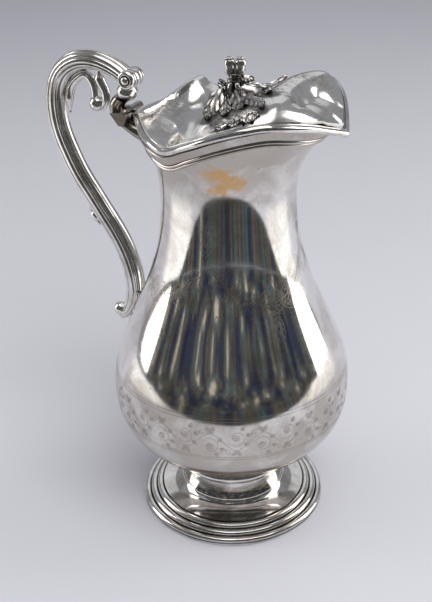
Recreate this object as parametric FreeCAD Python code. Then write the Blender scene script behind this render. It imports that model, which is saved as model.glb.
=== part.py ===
import FreeCAD, Part
import math
import os

V = FreeCAD.Vector

# A covered silver jug. It stands on z = 0, its axis is the Z axis and its spout points to +X.
# All sizes are in millimetres.

# Foot
foot_radius = 50.0          # to the outer corner of the reeded ring
foot_height = 24.5          # table to the top of the stem
plinth_height = 1.4         # plain band under the reeds
reed_width = 3.6            # one reed of the ring
reed_step = 1.9             # each reed stands this much higher than the one outside it
reed_count = 3
stem_radius = 27.5          # upright wall of the foot
dish_rise = 5.0             # rise of the dish from the ring to the stem
collar_height = 5.0         # half-round wire between foot and body
collar_land = 3.6           # width of the collar's top under the body
sheet = 1.2                 # thickness of the raised and spun silver

# Body
base_step = 0.5             # the body's base is this much narrower than the stem
belly_radius = 62.0
belly_height = 76.0         # height of the widest place
neck_radius = 33.3
neck_drop = 27.5            # narrowest place, below the mouth's edge
lip_front = 60.0            # reach of the mouth's flare, to the front, back and sides
lip_back = 51.0
lip_side = 48.8
flare_over = 7.7            # the flare is drawn this much past the edge's highest place

# Mouth and lid
rim_low = 211.5             # height from which the wavy edge is measured, under its lowest place
rim_rise = 20.8             # rise that the edge's heights are shares of
crown_rise = 27.5           # middle of the spout cover above that height
lid_tip_past = 0.9          # lid's tip past the reach of the flare
lid_back_short = 2.0        # lid's back short of it
lid_side_short = 0.5        # lid's sides short of it
lid_wire_height = 3.6       # wire round the lid
lid_wire_width = 3.0
rim_band_height = 8.4       # moulding under the lid, round the body's mouth
rim_band_thickness = 1.8
lid_seat_gap = 0.4          # lid above the body's rim

# Hinge
knuckle_radius = 2.2
hinge_gap = 1.0             # between the knuckles and the lid's wire
lid_knuckle_length = 6.4
side_knuckle_length = 4.0
pin_radius = 1.1
pin_play = 0.05             # radial play of the lid's knuckle on the pin
knuckle_gap = 0.35          # between neighbouring knuckles
pin_cap_radius = 1.9
pin_cap_height = 1.0
hinge_leaf_thickness = 1.8

# Handle
handle_reach = 97.0         # middle of the bar at its furthest from the jug's axis
handle_foot = 116.5         # height at which the bar meets the belly
bow_rise = 6.6              # top of the bar's middle line above the rolled end's axis
bow_drop = 28.8             # bar's furthest place below that top
bar_half_depth = 5.5        # half of the bar's section, in the plane of the handle
bar_half_width = 5.0        # and across it
bow_half_width = 5.6        # the bar is wider at its top bow
pad_thickness = 0.8         # patch that strengthens the belly under the bar
pad_radius = 9.0
bulb_radius = 5.4           # knop under the rolled end
bulb_half_height = 4.4
bulb_behind = 2.2           # knop's axis behind the hinge
bulb_rise = 8.6             # knop's middle above the hinge
volute_radius = 4.7         # rolled end of the bar
volute_half_width = 6.0
volute_before = 0.4         # its axis before the hinge
volute_sink = 2.1           # depth to which it sits on the knop
volute_button_radius = 2.0
volute_button_height = 1.2
arm_half_width = 4.4        # bracket from the knop to the mouth
arm_half_depth = 3.0
strand_radius = 2.7         # branch that curls under the bow
scroll_ball_radius = 4.2
curl_ball_radius = 3.8      # at the bar's lower end
curl_radius = 4.6           # bar's end where it turns outward
bud_radius = 2.7            # bud on the back of the bar

# Finial
finial_front = 4.5          # its stem, before the jug's axis
leaf_radius = 19.0          # spread of the leaves on the lid
leaf_height = 10.1          # rise of the leaves round the stem
leaf_count = 5
stem_foot_radius = 4.2      # of the finial's stem
stem_neck_radius = 2.8
finial_stem_height = 2.6
calyx_radius = 5.4
calyx_height = 1.2
bud_half_width = 2.75
bud_half_height = 4.2
bud_spread = 2.85           # each of the two buds, from the stem's axis
bud_turn = math.radians(20)  # their line, from the jug's middle plane
stud_radius = 1.5
stud_past = 1.2             # stud below the nut
stud_play = 0.1             # round the stud in the lid
washer_radius = 4.0
washer_thickness = 0.8
nut_radius = 3.2            # to the corners
nut_height = 2.6

overrun = 5.0               # by which cutting shapes pass what they cut

# Foot: height of a reed's round, and of the collar's, as shares of their widths.
reed_bulge_share = 0.45
collar_bulge_share = 0.5
# Outline of the body from the collar to the belly, and from the belly to the neck: height share, radius share.
lower_shares = [(0.0, 0.0), (0.10, 0.20), (0.23, 0.47), (0.40, 0.74), (0.61, 0.92), (0.83, 0.99), (1.0, 1.0)]
upper_shares = [(0.11, 0.972), (0.22, 0.847), (0.36, 0.610), (0.50, 0.373), (0.64, 0.181),
                (0.78, 0.066), (0.90, 0.012), (1.0, 0.0)]
# Flare of the mouth above the neck: height share, share of the reach.
flare_shares = [(0.20, 0.06), (0.40, 0.265), (0.58, 0.58), (0.76, 0.833), (1.0, 1.0)]
# Along the lid from its back to its tip: length share, then the edge's height, the edge's half
# width and the crown's height, as shares of the rise, the width and the crown's rise.
edge_height_shares = [(0.0, 0.264), (0.081, 0.274), (0.172, 0.128), (0.308, 0.06), (0.443, 0.37), (0.579, 0.671),
                      (0.697, 0.869), (0.787, 0.942), (0.86, 0.866), (0.923, 0.719), (0.964, 0.55), (1.0, 0.379)]
edge_width_shares = [(0.0, 0.0), (0.027, 0.196), (0.081, 0.374), (0.172, 0.595), (0.308, 0.795), (0.443, 0.957),
                     (0.52, 1.0), (0.61, 0.994), (0.697, 0.958), (0.787, 0.848), (0.86, 0.668), (0.923, 0.422),
                     (0.964, 0.211), (1.0, 0.0)]
crown_shares = [(0.0, 0.254), (0.05, 0.275), (0.10, 0.349), (0.172, 0.529), (0.244, 0.762), (0.308, 0.915),
                (0.36, 0.788), (0.416, 0.682), (0.489, 0.582), (0.561, 0.672), (0.633, 0.842), (0.706, 1.0),
                (0.751, 0.979), (0.785, 0.90), (0.82, 0.778), (0.871, 0.673), (0.911, 0.575), (0.95, 0.466),
                (1.0, 0.331)]
# How full the lid's cross section is: length share, power.
crown_power_shares = [(0.0, 2.0), (0.20, 1.7), (0.31, 1.35), (0.40, 1.6), (0.50, 1.9), (0.62, 2.2), (0.75, 2.6),
                      (0.85, 2.6), (1.0, 2.0)]
# Cheeks of the spout cover, beside its middle line: length share, share of the crown's rise.
cheek_shares = [(0.0, 0.0), (0.70, 0.005), (0.75, 0.064), (0.80, 0.127), (0.85, 0.111), (0.90, 0.036), (0.95, 0.0),
                (1.0, 0.0)]
least_width_share = 0.36    # the crown's cross section is never narrower than this share of the lid
lid_wire_drop_share = 0.6   # part of the lid's wire that lies below the edge line
# Middle line of the bar, lower part: share of the way out from the belly, share of the height.
bar_lower_shares = [(0.0, 0.0), (0.019, 0.091), (0.094, 0.209), (0.231, 0.332), (0.40, 0.444), (0.588, 0.565),
                    (0.741, 0.668), (0.859, 0.775), (0.953, 0.882), (1.0, 1.0)]
# Its bow: share of the way out from the rolled end, share of the height up to the top, then down to the end.
bow_up_shares = [(0.984, 0.382), (0.899, 0.694), (0.775, 0.878), (0.607, 0.99), (0.393, 1.0)]
bow_down_shares = [(0.18, 0.564), (0.06, 0.127)]
bar_end_depth_share = 0.76  # the bar thins towards the rolled end
# Lower end of the bar: its ball in ball radii, out and down; its line in curl radii; its sizes.
curl_ball_shares = (2.85, 3.95)
curl_line_shares = [(0.25, 1.2), (0.95, 2.2)]
curl_tip_shares = (0.6, 0.1)
curl_size_shares = (1.0, 0.85, 0.75)
# Branch: ball from the bow, and the ends of its two strands, in ball radii.
strand_seat_share = 0.9     # a strand stands this share of its radius off the bar
strand_end_share = 0.75     # thinning of the strands
bow_strand_points = 5       # points of the bow that the branch follows
scroll_drop_shares = (1.35, -3.35)
long_strand_shares = [(-0.35, 2.15), (-0.25, 0.8)]
short_strand_shares = [(0.55, 3.0), (1.2, 1.6), (1.1, 0.3), (0.5, -0.5)]
# Arm: start in the knop's sizes, bends in knuckle radii behind and below the hinge, end in band heights.
arm_start_shares = (0.6, 0.8)
arm_bend_shares = [(3.9, 0.5), (1.8, 3.2)]
arm_end_share = 1.1
arm_depth_shares = (1.2, 1.15, 1.0, 1.0)
# Bud on the bar: height, lift of its middle, steps to its ends and their sizes.
bud_height_share = 0.45
bud_lift_share = 0.4
bud_step_share = 1.3
bud_end_shares = (0.85, 0.75)
# Finial: height, radius and hollow between the leaves; neck of the stem; foot of the calyx; seat of the buds.
leaf_stack_shares = [(-0.6, 1.0, 0.42), (0.35, 0.72, 0.42), (0.75, 0.42, 0.21)]
stem_neck_shares = (0.45, 0.8)
calyx_foot_share = 0.6
finial_bud_share = 0.65


def along(shares, s, column=1):
    """Smooth value at share s of a table of (share, value)."""
    if s <= shares[0][0]:
        return shares[0][column]
    if s >= shares[-1][0]:
        return shares[-1][column]
    last = len(shares) - 1
    i = max(k for k in range(last) if shares[k][0] <= s)

    def slope(k):
        a, b = max(k - 1, 0), min(k + 1, last)
        return (shares[b][column] - shares[a][column]) / (shares[b][0] - shares[a][0])

    span = shares[i + 1][0] - shares[i][0]
    t = (s - shares[i][0]) / span
    low, high = shares[i][column], shares[i + 1][column]
    return ((1 + 2 * t) * (1 - t) ** 2 * low + t * (1 - t) ** 2 * span * slope(i)
            + t * t * (3 - 2 * t) * high + t * t * (t - 1) * span * slope(i + 1))


def curve(points, closed=False):
    """Edge through points."""
    line = Part.BSplineCurve()
    line.interpolate(Points=points, PeriodicFlag=closed)
    return line.toShape()


def line(a, b):
    return Part.makeLine(a, b)


def turned(edges, axis=V(0, 0, 1), centre=V(0, 0, 0)):
    """Solid of revolution of a closed outline."""
    return Part.Face(Part.Wire(edges)).revolve(centre, axis, 360)


def polygon(points):
    """Edges of a closed outline of straight lines."""
    return Part.makePolygon(points + points[:1]).Edges


def smooth_loft(sections):
    return Part.makeLoft([Part.Wire([curve(ring, True)]) for ring in sections], True)


def ball(centre, radius):
    return Part.makeSphere(radius, centre)


def egg(centre, half_width, half_height):
    """Ball drawn to another height."""
    unit = Part.makeSphere(half_width)
    scale = FreeCAD.Matrix()
    scale.scale(1, 1, half_height / half_width)
    shape = unit.transformGeometry(scale)
    shape.translate(centre)
    return shape


def one(shape):
    """The largest solid of a cut shape."""
    return max(shape.Solids, key=lambda solid: solid.Volume)


# Heights and reaches that follow from the sizes above

collar_top = foot_height + collar_height
base_radius = stem_radius - base_step
neck_height = rim_low - neck_drop
flare_top = rim_low + rim_rise + flare_over
lid_front = lip_front + lid_tip_past
lid_back = lip_back - lid_back_short
lid_side = lip_side - lid_side_short
lid_wire_drop = lid_wire_drop_share * lid_wire_height
rim_drop = lid_wire_drop + lid_seat_gap

# Body

RING_POINTS = 32


def flare_ring(height, flare, offset):
    """Points of the body's section at a height of the mouth's flare, moved outward by offset."""
    ring = []
    for k in range(RING_POINTS):
        a = 2 * math.pi * k / RING_POINTS
        reach = lip_front if math.cos(a) > 0 else lip_back
        out = neck_radius + flare * (reach - neck_radius) + offset
        side = neck_radius + flare * (lip_side - neck_radius) + offset
        ring.append(V(out * math.cos(a), side * math.sin(a), height))
    return ring


def body_outline():
    """Heights and radii of the body from the collar to the neck."""
    rise = belly_height - collar_top
    swell = belly_radius - base_radius
    outline = [(collar_top + s * rise, base_radius + q * swell) for s, q in lower_shares]
    drop = neck_height - belly_height
    outline += [(belly_height + s * drop, neck_radius + q * (belly_radius - neck_radius)) for s, q in upper_shares]
    return outline


def body_radius(height):
    return along(body_outline(), height)


def back_reach(height):
    """Reach of the body's back above the neck."""
    share = (height - neck_height) / (flare_top - neck_height)
    return neck_radius + along([(0.0, 0.0)] + flare_shares, share) * (lip_back - neck_radius)


def flare_sections(offset):
    return [flare_ring(neck_height + s * (flare_top - neck_height), flare, offset) for s, flare in flare_shares]


def body_form(offset, floor):
    """The body as a full solid, grown by offset, with its bottom raised by floor."""
    sections = []
    for height, radius in body_outline():
        if height == collar_top:
            height += floor
        sections.append([V((radius + offset) * math.cos(2 * math.pi * k / RING_POINTS),
                           (radius + offset) * math.sin(2 * math.pi * k / RING_POINTS), height)
                         for k in range(RING_POINTS)])
    return smooth_loft(sections + flare_sections(offset))


def lid_x(share):
    return -lid_back + share * (lid_back + lid_front)


def edge_height(share):
    return rim_low + rim_rise * along(edge_height_shares, share)


EDGE_STEPS = 40


def under_edge(drop):
    """Everything below the wavy edge lowered by drop."""
    half_span = belly_radius + lip_side
    tops = [V(lid_x(k / EDGE_STEPS), -half_span, edge_height(k / EDGE_STEPS) - drop)
            for k in range(EDGE_STEPS + 1)]
    back = V(-belly_radius - lid_back, -half_span, tops[0].z)
    front = V(belly_radius + lid_front, -half_span, tops[-1].z)
    low_front = V(front.x, front.y, -overrun)
    low_back = V(back.x, back.y, -overrun)
    edges = [line(back, tops[0]), curve(tops), line(tops[-1], front),
             line(front, low_front), line(low_front, low_back), line(low_back, back)]
    return Part.Face(Part.Wire(edges)).extrude(V(0, 2 * half_span, 0))


body_full = body_form(0, 0)
body_inside = body_form(-sheet, sheet)
under_rim = under_edge(rim_drop)
body_shell = one(body_full.cut(body_inside).common(under_rim))
band_full = smooth_loft(flare_sections(rim_band_thickness)).common(under_rim)
rim_moulding = one(band_full.cut(under_edge(rim_drop + rim_band_height)).cut(body_full))

# Foot

dish_rim = foot_radius - reed_count * reed_width
ring_inside = dish_rim - reed_width
ring_top = plinth_height + reed_count * reed_step
DISH_STEPS = 6


def foot_ring_form():
    """Plinth and reeds; each reed is a half round that faces up and out."""
    corner = V(foot_radius, 0, plinth_height)
    edges = [line(V(foot_radius, 0, 0), corner)]
    for k in range(reed_count):
        top = V(foot_radius - (k + 1) * reed_width, 0, plinth_height + (k + 1) * reed_step)
        middle = (corner + top) * 0.5 + V(reed_step, 0, reed_width) * reed_bulge_share
        edges.append(Part.Arc(corner, middle, top).toShape())
        corner = top
    inner = V(ring_inside, 0, ring_top)
    inner_low = V(ring_inside, 0, 0)
    edges += [line(corner, inner), line(inner, inner_low), line(inner_low, V(foot_radius, 0, 0))]
    return turned(edges)


def dish_line(inset):
    """Quarter round from the ring up to the stem, moved in and down by inset."""
    points = []
    for k in range(DISH_STEPS + 1):
        a = 0.5 * math.pi * k / DISH_STEPS
        points.append(V(dish_rim - (dish_rim - stem_radius) * math.sin(a) - inset, 0,
                        ring_top + sheet + dish_rise * (1 - math.cos(a)) - inset))
    return points


def foot_dome_form():
    """Edge that lies on the ring, concave dish and upright stem."""
    outer, inner = dish_line(0), dish_line(sheet)
    seat = V(dish_rim, 0, ring_top)
    stem_out, stem_in = V(stem_radius, 0, foot_height), V(stem_radius - sheet, 0, foot_height)
    return turned([line(seat, outer[0]), curve(outer), line(outer[-1], stem_out), line(stem_out, stem_in),
                   line(stem_in, inner[-1]), curve(inner[::-1]), line(inner[0], seat)])


def collar_form():
    """Half-round wire between the stem and the body."""
    bulge = collar_bulge_share * collar_height
    low, high = V(stem_radius, 0, foot_height), V(stem_radius, 0, collar_top)
    bore_low, bore_high = V(base_radius - collar_land, 0, foot_height), V(base_radius - collar_land, 0, collar_top)
    half_round = Part.Arc(low, V(stem_radius + bulge, 0, foot_height + 0.5 * collar_height), high).toShape()
    return turned([half_round, line(high, bore_high), line(bore_high, bore_low), line(bore_low, low)])


foot_ring = foot_ring_form()
foot_dome = foot_dome_form()
foot_collar = collar_form()

# Hinge

ACROSS = V(0, 1, 0)
hinge_back = lid_back + knuckle_radius + hinge_gap
hinge = V(-hinge_back, 0, edge_height(0) + 0.5 * lid_wire_height - lid_wire_drop)
side_start = 0.5 * lid_knuckle_length + knuckle_gap
side_end = side_start + side_knuckle_length


def barrel(radius, start, end):
    """Cylinder about the hinge's axis."""
    return Part.makeCylinder(radius, end - start, V(hinge.x, start, hinge.z), ACROSS)


# Handle

pad_reach = body_radius(handle_foot) + pad_thickness
bar_low = pad_reach + bar_half_depth
bulb_centre = hinge + V(-bulb_behind, 0, bulb_rise)
volute_back = hinge_back - volute_before
volute_height = bulb_centre.z + bulb_half_height + volute_radius - volute_sink
handle_top = volute_height + bow_rise
handle_reach_height = handle_top - bow_drop


def bar_place(out, up):
    """Place on the lower part of the bar's middle line."""
    return V(-bar_low - out * (handle_reach - bar_low), 0, handle_foot + up * (handle_reach_height - handle_foot))


def bow_place(out, height):
    """Place on the bar's bow."""
    return V(-volute_back - out * (handle_reach - volute_back), 0, height)


SECTION_POINTS = 12


def oval(centre, direction, half_depth, half_width):
    """Ring of points square to a direction that lies in the XZ plane."""
    out = V(-direction.z, 0, direction.x).normalize()
    ring = []
    for k in range(SECTION_POINTS):
        a = 2 * math.pi * k / SECTION_POINTS
        ring.append(centre + out * (half_depth * math.cos(a)) + ACROSS * (half_width * math.sin(a)))
    return ring


def bar(points, half_depths, half_widths):
    """Bar of oval sections through points of the XZ plane."""
    sections = []
    last = len(points) - 1
    for i, point in enumerate(points):
        direction = points[min(i + 1, last)] - points[max(i - 1, 0)]
        sections.append(oval(point, direction, half_depths[i], half_widths[i]))
    return smooth_loft(sections)


bar_points = [bar_place(out, up) for out, up in bar_lower_shares]
lower_count = len(bar_points)
bar_points += [bow_place(out, handle_reach_height + up * bow_drop) for out, up in bow_up_shares]
bar_points += [bow_place(out, volute_height + up * bow_rise) for out, up in bow_down_shares]
upper_count = len(bar_points) - lower_count
bow_ways = [(k + 1) / upper_count for k in range(upper_count)]
bar_depths = [bar_half_depth] * lower_count
bar_depths += [bar_half_depth * (1 - t * t * (1 - bar_end_depth_share)) for t in bow_ways]
bar_widths = [bar_half_width] * lower_count
bar_widths += [bar_half_width + t * (bow_half_width - bar_half_width) for t in bow_ways]

volute_centre = V(-volute_back, 0, volute_height)
volute_side = volute_half_width - volute_button_height
volute_profile = [(0.0, -volute_half_width - volute_button_height),
                  (volute_button_radius, -volute_half_width - volute_button_height),
                  (volute_button_radius, -volute_half_width),
                  (volute_radius - volute_button_height, -volute_half_width),
                  (volute_radius, -volute_side)]
volute_profile += [(r, -y) for r, y in reversed(volute_profile)]
handle_volute = turned(polygon([volute_centre + V(r, y, 0) for r, y in volute_profile]), ACROSS, volute_centre)

bar_full = bar(bar_points, bar_depths, bar_widths)
pad_cutter = Part.makeCylinder(pad_radius, handle_reach, V(-handle_reach, 0, handle_foot), V(1, 0, 0))
pad_form = body_form(pad_thickness, 0)
handle_lower_pad = one(pad_form.common(pad_cutter).cut(body_full))
handle_scroll = one(bar_full.cut(handle_volute).cut(pad_form))

# The bar's lower end turns outward and rolls up into a ball.
bar_foot = bar_points[0]
curl_ball_centre = bar_foot - V(curl_ball_shares[0], 0, curl_ball_shares[1]) * curl_ball_radius
curl_points = [bar_foot]
curl_points += [bar_foot - V(out, 0, down) * curl_radius for out, down in curl_line_shares]
curl_points.append(curl_ball_centre + V(curl_tip_shares[0], 0, -curl_tip_shares[1]) * curl_radius)
curl_sizes = [share * curl_radius for share in curl_size_shares]
curl_bar = bar(curl_points, [bar_half_depth] + curl_sizes, [bar_half_width] + curl_sizes)
handle_lower_curl = one(curl_bar.fuse(ball(curl_ball_centre, curl_ball_radius)).cut(bar_full).cut(pad_form))

handle_bulb = one(egg(bulb_centre, bulb_radius, bulb_half_height).cut(handle_volute).cut(bar_full))

# The inner branch runs along the inside of the bow and curls down to a ball, held by a second strand.


def under_bar(index, stand_off):
    """Place of a strand's middle against the inside of the bar at one of the bar's points."""
    direction = (bar_points[index + 1] - bar_points[index - 1]).normalize()
    inward = V(direction.z, 0, -direction.x)
    return bar_points[index] + inward * (bar_depths[index] + stand_off * strand_radius)


bow_start = lower_count - 1
long_strand = [under_bar(bow_start + k, strand_seat_share) for k in range(bow_strand_points)]
scroll_ball_centre = long_strand[-1] + V(scroll_drop_shares[0], 0, scroll_drop_shares[1]) * scroll_ball_radius


def from_ball(shares):
    """Places given in ball radii from the ball's centre."""
    return [scroll_ball_centre + V(x, 0, z) * scroll_ball_radius for x, z in shares]


def strand(points):
    """Round strand that thins towards its end."""
    radii = [strand_radius * (1 - (1 - strand_end_share) * k / (len(points) - 1)) for k in range(len(points))]
    return bar(points, radii, radii)


inner_scroll = ball(scroll_ball_centre, scroll_ball_radius)
inner_scroll = inner_scroll.fuse(strand(long_strand + from_ball(long_strand_shares)))
inner_scroll = inner_scroll.fuse(strand([under_bar(bow_start + bow_strand_points, 0)]
                                        + from_ball(short_strand_shares)))
handle_inner_scroll = one(inner_scroll.cut(bar_full).cut(handle_bulb))

# The arm goes from the knop round behind the hinge and down to the mouth's moulding.
arm_end_height = rim_low - arm_end_share * rim_band_height
arm_points = [bulb_centre - V(arm_start_shares[0] * bulb_radius, 0, arm_start_shares[1] * bulb_half_height)]
arm_points += [hinge - V(behind, 0, below) * knuckle_radius for behind, below in arm_bend_shares]
arm_points.append(V(-back_reach(arm_end_height), 0, arm_end_height))
arm_full = bar(arm_points, [share * arm_half_depth for share in arm_depth_shares],
               [arm_half_width] * len(arm_points))
hinge_room = barrel(knuckle_radius + knuckle_gap, -side_end, side_end)
handle_arm = one(arm_full.cut(band_full).cut(body_full).cut(handle_bulb).cut(bar_full).cut(handle_inner_scroll)
                 .cut(hinge_room))

# The bud lies along the back of the bar.
bar_ways = [(up, out) for out, up in bar_lower_shares]
bud_at = bar_place(along(bar_ways, bud_height_share), bud_height_share)
bud_way = (bar_points[lower_count // 2] - bar_points[lower_count // 2 - 1]).normalize()
bud_out = V(-bud_way.z, 0, bud_way.x)
bud_seat = bud_at + bud_out * bar_half_depth
bud_form = ball(bud_seat + bud_out * (bud_lift_share * bud_radius), bud_radius)
for side, share in zip((-1, 1), bud_end_shares):
    bud_form = bud_form.fuse(ball(bud_seat + bud_way * (side * bud_step_share * bud_radius), share * bud_radius))
handle_bud = one(bud_form.cut(bar_full))


def side_knuckle(start):
    """One fixed knuckle: a bored barrel with a web down to the arm."""
    back, front = hinge - V(knuckle_radius, 0, 0), hinge + V(knuckle_radius, 0, 0)
    corners = [back, front, arm_points[2] + V(arm_half_depth, 0, 0), arm_points[2], arm_points[1]]
    web = Part.Face(Part.Wire(polygon([corner + ACROSS * start for corner in corners])))
    form = barrel(knuckle_radius, start, start + side_knuckle_length)
    form = form.fuse(web.extrude(ACROSS * side_knuckle_length))
    return one(form.cut(barrel(pin_radius, -side_end - overrun, side_end + overrun)).cut(handle_arm))


hinge_knuckles = Part.makeCompound([side_knuckle(side_start), side_knuckle(-side_end)])
hinge_pin = barrel(pin_radius, -side_end, side_end)


def pin_cap(side):
    """Low domed end of the pin, against the outer knuckle."""
    start = V(hinge.x, side * side_end, hinge.z)
    return Part.makeCone(pin_cap_radius, pin_radius, pin_cap_height, start, ACROSS * side)


hinge_pin_caps = Part.makeCompound([pin_cap(1), pin_cap(-1)])

# Lid

LID_STEPS = 32
CROSS_STEPS = 22


def lid_prism(inset):
    """Upright prism over the lid's plan, drawn in by inset, through all of the lid's heights."""
    back, front = V(inset - lid_back, 0, 0), V(lid_front - inset, 0, 0)
    side = []
    for k in range(1, LID_STEPS):
        s = 0.5 - 0.5 * math.cos(math.pi * k / LID_STEPS)
        half = (lid_side - inset) * along(edge_width_shares, s)
        side.append(back + (front - back) * s + V(0, half, 0))
    near = [V(p.x, -p.y, 0) for p in side]
    plan = Part.Wire([curve([back] + side + [front]), curve([front] + near[::-1] + [back])])
    prism = Part.Face(plan).extrude(V(0, 0, 2 * rim_rise + crown_rise))
    prism.translate(V(0, 0, rim_low - rim_rise))
    return prism


def lid_top(x, y):
    """Height of the lid's upper side; it meets the wire's inner edge flush with the wire's top."""
    share = (x + lid_back) / (lid_back + lid_front)
    edge = edge_height(share) + lid_wire_height - lid_wire_drop
    crown = rim_low + crown_rise * along(crown_shares, share)
    inside_share = (x + lid_back - lid_wire_width) / (lid_back + lid_front - 2 * lid_wire_width)
    half = (lid_side - lid_wire_width) * max(along(edge_width_shares, inside_share), least_width_share)
    across = min(abs(y) / half, 1.0)
    cheek = crown_rise * along(cheek_shares, share) * (1 - (2 * across ** 2 - 1) ** 2)
    return edge + max(crown - edge, 0) * (1 - across ** along(crown_power_shares, share)) + cheek


def lid_top_face():
    """The lid's upper side, wider than the lid."""
    rows = []
    for i in range(LID_STEPS + 1):
        x = -lid_back - overrun + (lid_back + lid_front + 2 * overrun) * i / LID_STEPS
        ys = [(lid_side + overrun) * (2 * j / CROSS_STEPS - 1) for j in range(CROSS_STEPS + 1)]
        rows.append([V(x, y, lid_top(x, y)) for y in ys])
    top = Part.BSplineSurface()
    top.interpolate(rows)
    return top.toShape()


lid_face = lid_top_face()
lid_inside = lid_prism(lid_wire_width)
wire_band = under_edge(lid_wire_drop - lid_wire_height).cut(under_edge(lid_wire_drop))
lid_rim_moulding = one(lid_prism(0).cut(lid_inside).common(wire_band))
lid_sheet = lid_face.extrude(V(0, 0, -sheet)).common(lid_inside)


def lid_knuckle_form():
    """Middle knuckle with a leaf forward to the lid's wire."""
    half = 0.5 * lid_knuckle_length
    leaf = Part.makeBox(hinge_back - lid_back + 0.5 * lid_wire_width, lid_knuckle_length, hinge_leaf_thickness,
                        hinge - V(0, half, 0.5 * hinge_leaf_thickness))
    form = barrel(knuckle_radius, -half, half).fuse(leaf)
    return one(form.cut(barrel(pin_radius + pin_play, -side_end, side_end)).cut(lid_rim_moulding))


lid_knuckle = lid_knuckle_form()

# Finial

finial_seat = lid_top(finial_front, 0)
stem_base = finial_seat + leaf_height
stem_top = stem_base + finial_stem_height
LOBE_POINTS = 4


def star(height, radius, hollow):
    """Lobed ring of points round the finial's stem."""
    points = []
    for k in range(LOBE_POINTS * leaf_count):
        a = 2 * math.pi * k / (LOBE_POINTS * leaf_count)
        r = radius * (1 - hollow * (0.5 - 0.5 * math.cos(leaf_count * a)))
        points.append(V(finial_front + r * math.cos(a), r * math.sin(a), height))
    return points


def upright(radius, low, high):
    """Cylinder about the finial's axis."""
    return Part.makeCylinder(radius, high - low, V(finial_front, 0, low))


stud_bore = upright(stud_radius + stud_play, finial_seat - crown_rise, stem_base)
lid_shell = one(lid_sheet.cut(stud_bore))
leaf_stack = [star(finial_seat + up * leaf_height, out * leaf_radius, hollow)
              for up, out, hollow in leaf_stack_shares]
leaves_full = smooth_loft(leaf_stack + [star(stem_base, stem_foot_radius, 0)])
finial_leaves = one(leaves_full.cut(lid_face.extrude(V(0, 0, -crown_rise))).cut(stud_bore))

calyx_foot_radius = calyx_foot_share * calyx_radius
stem_outline = [(0.0, 0.0), (stem_foot_radius, 0.0)]
stem_outline += [(stem_neck_radius, share * finial_stem_height) for share in stem_neck_shares]
stem_outline += [(calyx_foot_radius, finial_stem_height), (0.0, finial_stem_height)]
finial_stem = turned(polygon([V(finial_front + r, 0, stem_base + up) for r, up in stem_outline]),
                     V(0, 0, 1), V(finial_front, 0, 0))
finial_calyx = Part.makeCone(calyx_foot_radius, calyx_radius, calyx_height, V(finial_front, 0, stem_top))
buds = []
for side in (1, -1):
    centre = V(finial_front + side * bud_spread * math.cos(bud_turn), side * bud_spread * math.sin(bud_turn),
               stem_top + calyx_height + finial_bud_share * bud_half_height)
    buds.append(one(egg(centre, bud_half_width, bud_half_height).cut(finial_calyx)))
finial_buds = Part.makeCompound(buds)

# The washer lies flat under the lowest place of the sheet round the stud.
WASHER_STEPS = 12
washer_ring = [2 * math.pi * k / WASHER_STEPS for k in range(WASHER_STEPS)]
washer_top = min(lid_top(finial_front + washer_radius * math.cos(a), washer_radius * math.sin(a))
                 for a in washer_ring) - sheet
nut_top = washer_top - washer_thickness
finial_washer = upright(washer_radius, nut_top, washer_top).cut(stud_bore)
NUT_SIDES = 6
nut_corners = [V(finial_front + nut_radius * math.cos(2 * math.pi * k / NUT_SIDES),
                 nut_radius * math.sin(2 * math.pi * k / NUT_SIDES), nut_top) for k in range(NUT_SIDES)]
finial_stud = upright(stud_radius, nut_top - nut_height - stud_past, stem_base)
finial_nut = Part.Face(Part.Wire(polygon(nut_corners))).extrude(V(0, 0, -nut_height)).cut(finial_stud)

nodes = {
    "body_shell": body_shell, "rim_moulding": rim_moulding, "foot_collar": foot_collar, "foot_dome": foot_dome,
    "foot_ring": foot_ring, "handle_scroll": handle_scroll, "handle_volute": handle_volute,
    "handle_inner_scroll": handle_inner_scroll, "handle_arm": handle_arm, "handle_bulb": handle_bulb,
    "handle_bud": handle_bud, "handle_lower_curl": handle_lower_curl, "handle_lower_pad": handle_lower_pad,
    "hinge_knuckles": hinge_knuckles, "hinge_pin": hinge_pin, "hinge_pin_caps": hinge_pin_caps,
    "lid_shell": lid_shell, "lid_rim_moulding": lid_rim_moulding, "lid_knuckle": lid_knuckle,
    "finial_leaves": finial_leaves, "finial_stem": finial_stem, "finial_calyx": finial_calyx,
    "finial_buds": finial_buds, "finial_stud": finial_stud, "finial_washer": finial_washer,
    "finial_nut": finial_nut,
}

os.makedirs("parts", exist_ok=True)
for name, shape in nodes.items():
    shape.exportStep("parts/" + name + ".step")
    print(name, "solids", len(shape.Solids), "valid", shape.isValid(), "volume", round(shape.Volume, 1))
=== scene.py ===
"""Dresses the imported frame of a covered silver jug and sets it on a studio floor."""

import math

import bmesh
import bpy
import numpy as np
from mathutils import Matrix, Vector


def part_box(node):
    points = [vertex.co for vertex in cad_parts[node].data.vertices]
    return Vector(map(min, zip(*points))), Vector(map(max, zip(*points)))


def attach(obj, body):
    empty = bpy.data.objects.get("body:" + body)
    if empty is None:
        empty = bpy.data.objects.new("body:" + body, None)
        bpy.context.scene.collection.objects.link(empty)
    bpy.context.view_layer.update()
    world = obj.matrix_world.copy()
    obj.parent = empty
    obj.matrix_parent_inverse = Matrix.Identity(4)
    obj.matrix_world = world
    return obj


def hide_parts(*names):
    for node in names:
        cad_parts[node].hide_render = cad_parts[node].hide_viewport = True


bl_info = {
    "name": "Covered silver jug",
    "version": (1, 0, 0),
    "blender": (4, 5, 0),
    "location": "View3D > Sidebar > Jug",
    "description": "Builds the silver pieces of a covered jug on its packed frame, with a studio stage",
    "category": "Object",
}

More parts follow.
